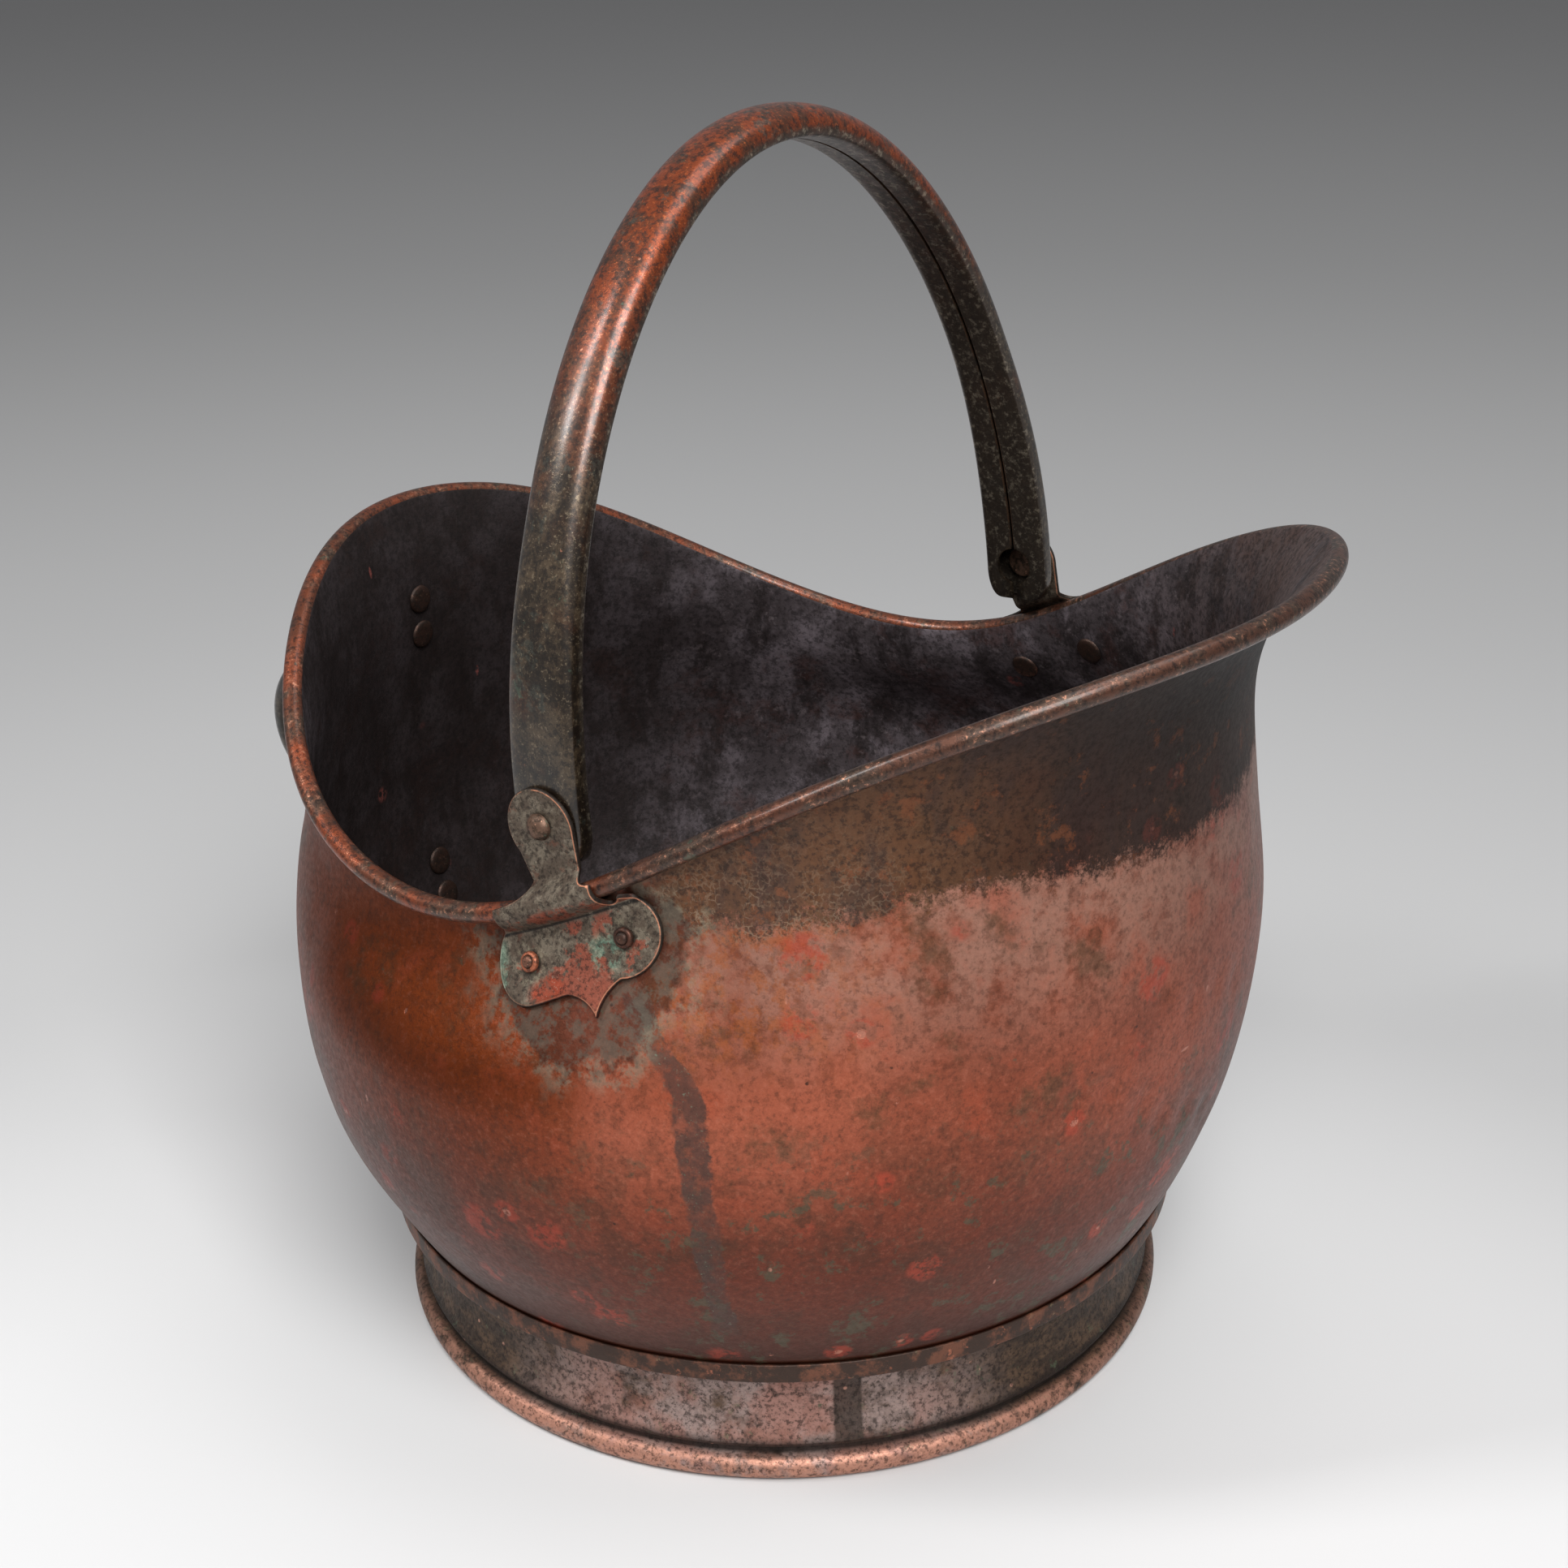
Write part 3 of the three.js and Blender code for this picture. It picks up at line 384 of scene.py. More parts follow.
def mesh_from_grid(name, points, close_rows, caps=()):
    """Points is rows by columns by three, in millimetres round the belly's axis."""
    rows, columns = points.shape[:2]
    placed = (points + (BELLY_AXIS, 0, 0)).reshape(-1, 3) / 1000
    return new_mesh(name, placed.tolist(), grid_faces(rows, columns, close_rows) + list(caps))


# %% [markdown]
# ## The wall of the bucket
#
# The wall is one beaten sheet. Cut by an upright plane through the belly's axis it is always the same kind of
# line: it leans out of the foot's seam, stands upright at the belly, and comes in and flares again to the
# rolled edge. The mouth's plan, its height and its flare change smoothly from spout to hood, so nine stations of
# each say everything, and a cosine series runs through them. NumPy works the whole wall out at once.

# %% The mouth's stations and the wall's line
BELLY_RADIUS = 171
MOUTH_RADIUS = BELLY_RADIUS + np.array([20, 14.5, -3, -20, -24, -17.5, -7, -1, 4.5])
MOUTH_HEIGHT = np.array([298, 293.5, 270.5, 234.5, 205, 199.5, 221, 252.5, 264.5])
MOUTH_FLARE = np.array([44, 40, 25, 8, 0, 0, 4, 9, 14])
BELLY_HEIGHT = np.array([166, 164, 158, 150, 144, 142, 146, 152, 156])
SHEET = 1.1
BEAD_RADIUS = 3.46
ROLL_INSIDE = 2.4
SEAM_RADIUS, SEAM_TOP, FLANGE_FOOT = 142.5, 51, 45.5


def round_mouth(stations, azimuth):
    """A smooth value round the mouth, from the spout at 0 to the hood at pi, alike on both sides."""
    spans = len(stations) - 1
    at = np.arange(spans + 1)
    ends = np.where((at == 0) | (at == spans), 0.5, 1)
    value = np.zeros_like(azimuth)
    for wave in at:
        weight = (ends * stations * np.cos(wave * at * np.pi / spans)).sum() / spans
        value = value + 2 * ends[wave] * weight * np.cos(wave * azimuth)
    return value


def bezier(corners, share):
    """Points of a cubic curve and its direction there, at many azimuths at once."""
    share = share[:, None, None]
    rest = 1 - share
    a, b, c, d = corners
    place = rest**3 * a + 3 * rest**2 * share * b + 3 * rest * share**2 * c + share**3 * d
    along = rest**2 * (b - a) + 2 * rest * share * (c - b) + share**2 * (d - c)
    return place, along / np.linalg.norm(along, axis=1, keepdims=True)


def wall_line(azimuth, lower_steps=24, upper_steps=40):
    """The outer face in upright planes: points and directions as steps by (radius, height) by azimuths."""
    pair = lambda radius, height: np.stack([radius + 0 * azimuth, height + 0 * azimuth])
    bead = pair(round_mouth(MOUTH_RADIUS, azimuth), round_mouth(MOUTH_HEIGHT, azimuth))
    flare = np.radians(round_mouth(MOUTH_FLARE, azimuth))
    belly = round_mouth(BELLY_HEIGHT, azimuth)
    out, up = np.sin(flare), np.cos(flare)
    top = bead + np.stack([-up, out]) * ROLL_INSIDE
    rise = top[1] - belly
    lean, reach = math.radians(31), 36
    seam, side = pair(SEAM_RADIUS, SEAM_TOP), pair(BELLY_RADIUS, belly)
    out_of_seam = seam + pair(reach * math.sin(lean), reach * math.cos(lean))
    low = (seam, out_of_seam, pair(BELLY_RADIUS, belly - 44), side)
    high = (side, pair(BELLY_RADIUS, belly + 0.4 * rise), top - np.stack([out, up]) * 0.42 * rise, top)
    lower, lower_run = bezier(low, np.linspace(0, 1, lower_steps + 1))
    upper, upper_run = bezier(high, np.linspace(0, 1, upper_steps + 1)[1:])
    return bead, flare, np.concatenate([lower, upper]), np.concatenate([lower_run, upper_run])


# %% [markdown]
# ## Dents
#
# A hammered wall is never quite round, and a scuttle that has stood under falling coal for years has dents as
# well. They could come from a noise texture, but that roughens everything alike. Here each dent is a shallow
# dish with its own place, width and depth, drawn by lot with a fixed seed. All of them go inward, so the wall
# stays inside its solid, and none lies under a bracket, under the rear handle, at the rim or at the foot.

# %% Dents by lot
rng = np.random.default_rng(18)
DENTS = []
for count, *limits in (
    (150, (-180, 180), (66, 235), (6, 15), (0.08, 0.34)),
    (26, (-180, 180), (80, 200), (18, 34), (0.3, 0.7)),
):
    DENTS += [tuple(rng.uniform(low, high) for low, high in limits) for _ in range(count)]
# The row of knocks low on the spout's side, where the scuttle was dragged over the grate
DENTS += [(-22 + 5.2 * at + rng.uniform(-1, 1), 152 - 9 * at + rng.uniform(-5, 5), 6.5, 1.1) for at in range(7)]
DENTS += [(-9 + 5.5 * at, 172 - 6 * at + rng.uniform(-5, 5), 6, 0.9) for at in range(4)]


def smooth_step(value, low, high):
    share = np.clip((value - low) / (high - low), 0, 1)
    return share * share * (3 - 2 * share)


def aside_from(azimuth, degrees):
    """The angle from a place on the wall, the shorter way round."""
    return (azimuth - math.radians(degrees) + np.pi) % (2 * np.pi) - np.pi


def dent_depth(azimuth, height, rim_height):
    """How far inward the wall lies, in millimetres. Azimuth in radians."""
    depth = 0.16 * (1 + np.sin(azimuth * 9 + height / 23) * np.sin(height / 17 - azimuth * 4))
    for turn, middle, radius, deep in DENTS:
        reach = ((aside_from(azimuth, turn) * 165) ** 2 + (height - middle) ** 2) / radius**2
        depth = depth + deep * np.exp(-1.6 * reach)
    depth = depth * smooth_step(height, 56, 72) * smooth_step(rim_height - height, 8, 24)
    for turn, middle, half_width, half_height in ((-78, 196, 38, 36), (78, 196, 38, 36), (180, 166, 26, 78)):
        sideways = np.abs(aside_from(azimuth, turn)) * 160
        reach = np.maximum(sideways / half_width, np.abs(height - middle) / half_height)
        depth = depth * smooth_step(reach, 0.95, 1.35)
    return depth


print(len(DENTS), "dents, the deepest", round(max(dent[3] for dent in DENTS), 2), "mm")


# %% [markdown]
# The wall's section goes up the outside, once round inside the roll, back over the bead's visible face and down
# the inside. The same section at every azimuth makes a grid that closes both ways, like a tyre. Its rows also say
# which finish a face has: outside, rolled edge or inside.

# %% Wall mesh
def make_wall(finishes):
    roll_steps = 24
    azimuth = np.linspace(0, 2 * np.pi, 440, endpoint=False)
    bead, flare, outside, along = wall_line(azimuth)
    inward = np.stack([-along[:, 1], along[:, 0]], 1)
    depth = dent_depth(azimuth[None], outside[:, 1], bead[1][None])[:, None]
    outside = outside + inward * depth
    inside = outside + inward * SHEET
    seam = np.stack([0 * azimuth + SEAM_RADIUS, 0 * azimuth + FLANGE_FOOT])[None]
    inner_foot = seam - np.array([SHEET, 0])[None, :, None]
    start, turn = np.pi - flare, np.radians(290)

    def roll(radius, shares):
        angle = start - turn * shares[:, None]
        return bead[None] + radius * np.stack([np.cos(angle), np.sin(angle)], 1)

    shares = np.linspace(0, 1, roll_steps + 1)
    rolled = [roll(ROLL_INSIDE, shares[1:]), roll(BEAD_RADIUS, shares[::-1][:-1])]
    section = np.concatenate([seam, outside, *rolled, inside[::-1], inner_foot])
    rows, columns = section.shape[0], len(azimuth)
    around = [section[:, 0] * np.cos(azimuth), section[:, 0] * np.sin(azimuth), section[:, 1]]
    mesh = mesh_from_grid("bucket_wall", np.stack(around, -1), True)
    edge = len(seam) + len(outside)
    edge_end = edge + 2 * roll_steps - 1
    finish_of_row = np.zeros(rows, int)
    finish_of_row[edge:edge_end] = 1
    finish_of_row[edge_end:] = 2
    mesh.polygons.foreach_set("material_index", np.repeat(finish_of_row, columns))
    print("wall", rows, "rows by", columns, "columns")
    return link_piece("bucket_wall", face_outward(mesh), *finishes)


# %% [markdown]
# ## The wall's finishes
#
# Outside, the wall is red-brown oxide, warmer towards the hood, with a painted mauve sheen where it faces the
# light.
# Under the rim, from the bracket to the spout, rubbing never reached and a grey-brown band is left. A dark run of
# dirt goes down from behind the bracket. Knocks show as small pink flecks of bare metal in rings of fresh red,
# damp as grey-green clouds low down and round the brackets. Painted shade darkens the wall towards the bottom, on
# the hood's side and towards the spout, and a painted contact shadow lies close round each plate. Where a mark has
# a place it is drawn from the point's own coordinates, and clouds blur its edge.

# %% Outside of the wall
def copper_outside():
    finish = Finish("body_copper_outside")
    x, y, z = finish.x, finish.y, finish.z
    turn = finish.around_axis()
    broad, mottle = finish.clouds(95, 5, 0.6), finish.clouds(22, 6, 0.62)
    fine, grain, dust = [finish.clouds(size, 5, 0.72).step(0.32, 0.68) for size in (5.5, 2.1, 0.8)]
    hoodward = ((x - 0.026) * -0.6 - y * 0.8) / 0.17
    # Painted sheen: a mauve sheen on the upper wall towards the spout, where it faces the light
    painted_mauve_sheen = z.step(0.16, 0.215) * x.step(0.06, 0.12) * mottle.step(0.3, 0.55)
    warm = hoodward.step(0.35, 0.85) * z.step(0.08, 0.17) * broad.step(0.3, 0.5)
    under_rim = x.step(0.07, 0.09) * x.step(0.165, 0.11) * z.step(0.165, 0.19)
    rust = under_rim * finish.clouds(8, 6, 0.76).step(0.46, 0.58)
    damp = finish.clouds(13, 7, 0.74).step(0.55, 0.62) * z.step(0.17, 0.12) * x.step(0.02, 0.1)
    colour = finish.coats(
        "ac5b41",
        ("8b452e", broad.step(0.38, 0.66)),
        # Painted sheen, in mauve
        ("b08674", painted_mauve_sheen * 0.75),
        ("8a3c0c", warm * 0.9),
        ("ac4f33", mottle.step(0.54, 0.7) * 0.5),
        ("5c4029", finish.clouds(30, 6, 0.68).step(0.53, 0.66) * 0.7),
        ("54402c", mottle.step(0.5, 0.4) * z.step(0.17, 0.09) * 0.7),
        # Painted shade: darker towards the bottom, where the belly turns under away from the light
        ("521f0c", z.step(0.165, 0.09) * 0.8),
        ("3a1c10", z.step(0.085, 0.05) * 0.7),
        ("ad5a24", rust * 0.55),
        # No patch is one colour: darker pores and paler grains break all of them up
        ("56301f", fine.step(0.5, 0.1) * 0.3),
        ("4a2c20", grain.step(0.34, 0.02) * 0.32),
        ("b4715c", grain.step(0.7, 1.0) * z.step(0.05, 0.16) * 0.2),
        # Clouds of grey-green low on the spout's side
        ("4f4c3a", damp * 0.75),
    )

    # The grey-brown band under the rim, towards the spout
    wander = (finish.clouds(16, 6, 0.7) - 0.5) * 0.016 + (finish.clouds(3, 6, 0.85) - 0.5) * 0.034
    edge = 0.214 + 0.012 * x.step(0.09, 0.17) - 0.006 * x.step(0.17, 0.2)
    band = (z - edge + wander).step(-0.004, 0.0035) * x.step(0.066, 0.088)
    streaks = finish.clouds(26, 6, 0.65, finish.drawn(1, 1, 0.35))
    low_band = (z - edge).step(0.024, 0.002)
    wax = finish.cracks(2.3, 0.12) * finish.clouds(8, 5, 0.7).step(0.42, 0.56) * x.step(0.18, 0.11)
    soot = finish.coats(
        "5c3c22",
        ("3a2a22", streaks.step(0.42, 0.6)),
        ("1e1818", x.step(0.145, 0.19) * 0.86),
        ("8e7964", wax * (0.2 + low_band * 0.4)),
        ("20150f", grain.step(0.5, 0.1) * 0.6),
        ("7c4524", finish.clouds(12, 6, 0.74).step(0.56, 0.64) * 0.6),
    )

    # The run of dirt down from the bracket
    middle = -1.07 - 0.45 * (z - 0.079) - 0.1 * z.step(0.165, 0.192)
    ragged = (finish.clouds(9, 5, 0.65) - 0.5) * 0.007 + (grain - 0.5) * 0.0008
    aside = finish.math("ABSOLUTE", (turn - middle) * 0.168 + ragged)
    run = (aside - 0.0012 * z.step(0.09, 0.18)).step(0.0048, 0.0034) * z.step(0.066, 0.074) * z.step(0.196, 0.188)
    run = run * (0.45 + 0.55 * finish.clouds(14, 5, 0.7).step(0.4, 0.56))

    # Grime and verdigris that crept out from under the plates, and a painted contact shadow close round them
    near_plate = finish.distance((x - 0.0581) / 0.037, (z - 0.1985) / 0.031) + (mottle - 0.5) * 1.1
    beside = finish.math("ABSOLUTE", y).step(0.1, 0.12)
    creep = near_plate.step(1.34, 0.95) * finish.clouds(7, 6, 0.74).step(0.44, 0.56) * beside

    # Knocks and pin scratches: bare metal in a ring of fresh red oxide
    ragged_spots = finish.clouds(2.4, 5, 0.75).step(0.42, 0.56)
    bare = (finish.flecks(21, 0.1, 0.4) + finish.flecks(11, 0.09, 0.25, finish.drawn(1, 1, 0.6))) * ragged_spots
    scratch = finish.flecks(26, 0.04, 0.5, finish.drawn(0.35, 0.35, 1.5))
    scratch = scratch + finish.flecks(30, 0.04, 0.45, finish.drawn(1.4, 1.4, 0.3))
    marks = (bare + scratch).step(0.0, 1.0) * (1 - band * 0.7)
    halo = (finish.flecks(34, 0.3, 0.45) + finish.flecks(21, 0.3, 0.4)).step(0.1, 1.0) * fine.step(0.2, 0.75)
    colour = finish.coats(
        colour,
        (soot, band * 0.93),
        ("442e26", run * 0.85),
        ("74806c", run * finish.clouds(1.7, 4, 0.8).step(0.6, 0.68) * 0.7),
        ("706957", creep * 0.7),
        # Painted contact shadow: dark close round each plate
        ("2c1f19", near_plate.step(1.04, 0.9) * beside * 0.6),
        ("4c5a48", finish.clouds(8, 7, 0.76).step(0.64, 0.7) * 0.5),
        ("b5452f", halo * (1 - band * 0.8) * 0.55),
        ("cf8a73", marks * 0.7),
        ("2c1d17", finish.flecks(6, 0.12, 0.2) * ragged_spots * 0.8),
    )
    # Painted shade: the wall darker on the hood's side and towards the spout
    spoutward = ((x - 0.026) * 0.8 + y * 0.6).step(0.1, 0.165) * 0.4
    spoutward = spoutward + x.step(0.16, 0.2) * z.step(0.235, 0.27) * 0.55
    shadow = 1 - hoodward.step(0.5, 0.95) * 0.42 - spoutward
    colour = finish.shade(colour, (0.78 + grain * 0.2 + dust * 0.14) * shadow)

    roughness = 0.34 + mottle * 0.16 + (1 - grain) * 0.1 + band * 0.2 + creep * 0.2 + run * 0.1 - marks * 0.1
    metallic = 0.7 + warm * 0.2 - band * (0.3 - 0.35 * x.step(0.12, 0.17)) - creep * 0.4 - run * 0.3
    relief = mottle * 0.3 + fine * 0.025 + grain * 0.018 + dust * 0.008 - marks * 0.08
    return finish.surface(colour, roughness, metallic, relief, 0.08)


# %% [markdown]
# The rolled edge is handled more than the wall, so it carries a skin of old wax, with orange on the near side and
# dark dots where dirt filled the hammer's marks. Inside, coal and soot left the metal nearly black, with a dull
# grey sheen, and thin scrapes of pink where the shovel reached it.

# %% Rolled edge and inside
def copper_edge():
    finish = Finish("body_copper_rolled_edge")
    mottle, grain = finish.clouds(11, 6, 0.65), finish.clouds(1.8, 5, 0.74).step(0.34, 0.66)
    orange = finish.clouds(26, 5, 0.6).step(0.48, 0.62) * finish.x.step(0.16, 0.0)
    colour = finish.coats(
        "74402a",
        ("5b4638", mottle.step(0.42, 0.6)),
        ("48382f", finish.x.step(-0.02, 0.11) * 0.6),
        ("a04c2a", orange * (0.35 + finish.y.step(0.05, -0.06) * 0.4)),
        ("2b1f1a", grain.step(0.4, 0.05) * 0.7),
        ("2b1f1a", finish.clouds(5, 6, 0.74).step(0.54, 0.62) * 0.6),
        ("c98b6e", grain.step(0.78, 1.0) * mottle.step(0.44, 0.56) * 0.6),
        ("566554", finish.clouds(9, 6, 0.72).step(0.62, 0.68) * 0.55),
    )
    colour = finish.shade(colour, 0.72 + grain * 0.3)
    return finish.surface(colour, 0.3 + mottle * 0.16 + (1 - grain) * 0.1, 0.7, grain * 0.05 + mottle * 0.2, 0.4)


def copper_inside():
    finish = Finish("body_copper_inside")
    mottle, grain = finish.clouds(24, 6, 0.7), finish.clouds(2.2, 5, 0.74).step(0.34, 0.66)
    streaks = finish.clouds(18, 6, 0.72, finish.drawn(1, 1, 0.5))
    scrape = finish.flecks(34, 0.13, 0.3) * finish.clouds(5, 6, 0.74).step(0.44, 0.56)
    thin = finish.flecks(17, 0.06, 0.3, finish.drawn(1, 1, 0.35)) * finish.clouds(2, 4, 0.7).step(0.4, 0.55)
    colour = finish.coats(
        "4b4345",
        ("776d72", mottle.step(0.42, 0.66)),
        ("241c1b", streaks.step(0.48, 0.62) * 0.75),
        ("4a2f2a", finish.clouds(34, 6, 0.7).step(0.52, 0.64) * 0.6),
        ("7f7375", finish.clouds(5, 6, 0.74).step(0.56, 0.66) * 0.5),
        ("1f1613", finish.x.step(-0.05, -0.14) * 0.85),
        ("4e3a31", finish.x.step(0.07, 0.17) * mottle.step(0.36, 0.6) * 0.75),
        ("1f1817", grain.step(0.5, 0.1) * 0.45),
        ("96524a", (scrape + thin) * 0.75),
        ("6e6666", finish.flecks(28, 0.03, 0.4, finish.drawn(1.5, 1.5, 0.2)) * 0.6),
    )
    colour = finish.shade(colour, 0.72 + grain * 0.45)
    return finish.surface(colour, 0.4 + mottle * 0.2 + (1 - grain) * 0.12, 0.45, grain * 0.04 + mottle * 0.5)


wall = make_wall([copper_outside(), copper_edge(), copper_inside()])
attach(wall, "bucket")
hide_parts("body_shell")

# %% [markdown]
# ## Turned pieces with Geometry Nodes
#
# The floor disc and the foot are turned: one outline, carried once round an axis. So is every rivet. A node tree
# suits that, because it takes any outline: it makes a flat grid, with a column for each step of the turn and a
# row for each point of the outline, and then moves each grid point to where it belongs. A weld closes the seam.

# %% A tree that turns an outline
def add_turning(graph, outline, steps):
    """Adds the nodes that carry an outline, points of (radius, 0, height), once round the Z axis."""
    size = {"component": "MESH"}
    count = graph.node("GeometryNodeAttributeDomainSize", size, {"Geometry": outline}, "Point Count")
    grid = graph.node("GeometryNodeMeshGrid", None, {"Vertices X": steps + 1, "Vertices Y": count}, "Mesh")
    index = graph.node("GeometryNodeInputIndex")
    column = graph.math("FLOOR", (index + 0.5) / count)
    row = index - column * count
    sample = {"data_type": "FLOAT_VECTOR", "domain": "POINT"}
    inputs = {"Geometry": outline, "Value": graph.node("GeometryNodeInputPosition"), "Index": row}
    radius, _, height = graph.split(graph.node("GeometryNodeSampleIndex", sample, inputs))
    angle = column * (2 * math.pi) / steps
    around = graph.join(radius * graph.math("COSINE", angle), radius * graph.math("SINE", angle), height)
    moved = graph.node("GeometryNodeSetPosition", None, {"Geometry": grid, "Position": around})
    return graph.node("GeometryNodeMergeByDistance", None, {"Geometry": moved, "Distance": 1e-6})


def new_tree(name, inputs):
    """An empty geometry tree with named inputs. Gives the graph and the inputs as sockets."""
    tree = bpy.data.node_groups.new(name, "GeometryNodeTree")
    tree.interface.new_socket("Geometry", in_out="OUTPUT", socket_type="NodeSocketGeometry")
    for label, kind in inputs.items():
        tree.interface.new_socket(label, in_out="INPUT", socket_type=kind)
    graph = Graph(tree)
    first = graph.node("NodeGroupInput")
    return graph, {label: first.beside(label) for label in inputs}


def end_tree(graph, geometry, finish):
    """Every tree ends as plain geometry with a material."""
    real = graph.node("GeometryNodeRealizeInstances", None, {"Geometry": geometry})
    painted = graph.node("GeometryNodeSetMaterial", None, {"Geometry": real, "Material": finish})
    graph.node("NodeGroupOutput", None, {"Geometry": painted})
    return graph.tree


def bake(piece, tree, values, corner=38):
    """Runs a tree on a piece and keeps the result as its plain mesh."""
    modifier = piece.modifiers.new(tree.name, "NODES")
    modifier.node_group = tree
    for item in tree.interface.items_tree:
        if item.in_out == "INPUT" and item.name in values:
            modifier[item.identifier] = values[item.name]
    bpy.context.view_layer.update()
    ready = piece.evaluated_get(bpy.context.evaluated_depsgraph_get())
    mesh = bpy.data.meshes.new_from_object(ready)
    piece.modifiers.remove(modifier)
    mesh.name = piece.name
    piece.data = face_outward(mesh, corner)
    print(piece.name, len(mesh.polygons), "faces")
    return piece


# %% [markdown]
# ## Floor disc and foot
#
# The floor's edge is folded down, under the wall's flange and up again outside it. That fold is the thin ridge
# between body and foot. The foot below is a ring of its own: a flange under the floor, a skirt that draws in and
# out again, a groove, and a bead rolled over a second wire, on which the scuttle stands.

# %% Outlines with soft corners
def soften(points, radius, steps=4):
    """A closed outline whose corners are rounded a little."""
    points = np.array(points, float)
    soft = []
    for at, corner in enumerate(points):
        legs = [points[at - 1] - corner, points[(at + 1) % len(points)] - corner]
        lengths = [np.linalg.norm(leg) for leg in legs]
        cut = min(radius, *(0.45 * length for length in lengths))
        start, end = [corner + leg / length * cut for leg, length in zip(legs, lengths)]
        for share in np.linspace(0, 1, steps):
            soft.append((1 - share) ** 2 * start + 2 * share * (1 - share) * corner + share**2 * end)
    return np.array(soft)


def arc(middle, radius, start, end, steps):
    angle = np.radians(np.linspace(start, end, steps + 1))
    return np.stack([middle[0] + radius * np.cos(angle), middle[1] + radius * np.sin(angle)], 1)


def outline_object(name, outline, closed):
    """The outline as a mesh without faces, in metres, for a tree to carry round."""
    outline = np.array(outline)
    if closed:
        outline = np.concatenate([outline, outline[:1]])
    return add_object(name, new_mesh(name, [(radius / 1000, 0, height / 1000) for radius, height in outline]))


floor_fold = [(140, 48.4), (140, 44.1), (143.9, 44.1), (143.9, 50.9), (142.8, 50.9), (142.8, 45.2), (141.1, 45.2)]
floor_outline = np.concatenate([[[0, 48.4]], soften(floor_fold + [(141.1, 49.5)], 0.5), [[0, 49.5]]])

skirt, skirt_run = bezier(
    [np.array(corner, float)[:, None] for corner in ((133, 47), (132, 30.1), (133, 20.6), (136.6, 13.6))],
    np.linspace(0, 1, 19),
)
skirt, skirt_run = skirt[..., 0], skirt_run[..., 0]
foot_sheet = 1.05
skirt_inner = skirt + np.stack([skirt_run[:, 1], -skirt_run[:, 0]], 1) * foot_sheet
foot_bead = (135.6, 4.4)
foot_outline = np.concatenate(
    [
        [(122, 48.1), (132.2, 48.1), (132.8, 47.8)],
        skirt,
        [(136.2, 12.2), (134.6, 11.2), (134.2, 10.6), (134.5, 9.4)],
        arc(foot_bead, 4.4, 84, -112, 26),
        arc(foot_bead, 3.3, -112, 110, 20),
        [(133.1, 10.6), (133.5, 11.8)],
        skirt_inner[::-1],
        [(131.6, 47.0), (122, 47.0)],
    ]
)
print("floor outline", len(floor_outline), "points, foot outline", len(foot_outline))


# %% [markdown]
# The foot is greyer than the body: it was never polished, and it stood in the ashes. Its bead is rubbed pale by
# the hearth, the groove and the hollow of the skirt are nearly black, and a stain goes down over its front. Its
# front is painted paler and pinker and its far side darker, as painted highlight and shade, and a painted shadow
# lies along its top under the floor's ridge.

# %% Finishes of foot and floor
def copper_foot():
    finish = Finish("foot_copper_tarnished")
    x, y, z = finish.x, finish.y, finish.z
    mottle, grain = finish.clouds(15, 6, 0.7), finish.clouds(1.7, 5, 0.74).step(0.34, 0.66)
    streaks = finish.clouds(11, 6, 0.72, finish.drawn(1, 1, 2.6))
    # lit is 1 on the front that faces the lamps: it places painted highlight and painted shade
    lit = ((x - 0.026) * 0.5 - y * 0.86) / 0.134
    bead = z.step(0.0092, 0.0078)
    # The bead's rub is real wear, painted brighter on the lit front: partly a painted highlight
    rubbed = bead * finish.clouds(9, 6, 0.7).step(0.34, 0.54) * (0.35 + lit.step(0.3, 0.9) * 0.6)
    beside_stain = finish.math("ABSOLUTE", (finish.around_axis() + 0.79) * 0.134)
    stain = beside_stain.step(0.0055, 0.0042) * z.step(0.009, 0.012)
    colour = finish.coats(
        "3b2d23",
        ("5a4534", streaks.step(0.42, 0.62)),
        # Painted highlight: paler grey and pink on the lit front
        ("a8928b", lit.step(0.72, 0.97) * mottle.step(0.3, 0.56) * 0.85),
        ("a27062", lit.step(0.8, 1.0) * finish.clouds(24, 5, 0.6).step(0.45, 0.6) * 0.7),
        ("2f251f", finish.clouds(7, 6, 0.7).step(0.54, 0.66) * 0.7),
        ("221a16", z.step(0.0165, 0.0125) * z.step(0.0085, 0.0095) * 0.9),
        # Painted shadow along the top of the foot, under the floor's ridge
        ("231b17", z.step(0.042, 0.0465) * 0.8),
        ("b98570", rubbed),
        ("57674f", finish.clouds(6, 6, 0.72).step(0.6, 0.68) * 0.5),
        ("3a2f28", stain * 0.85),
        ("d29a84", finish.flecks(7, 0.12, 0.3) * 0.6),
        ("241b17", grain.step(0.42, 0.05) * 0.6),
    )
    # Painted shade: darker on the side away from the light
    colour = finish.shade(colour, (0.78 + grain * 0.34) * (1 - lit.step(0.5, -0.2) * 0.35))
    return finish.surface(colour, 0.34 + mottle * 0.22 + (1 - grain) * 0.12, 0.62, mottle * 0.3 + grain * 0.04)


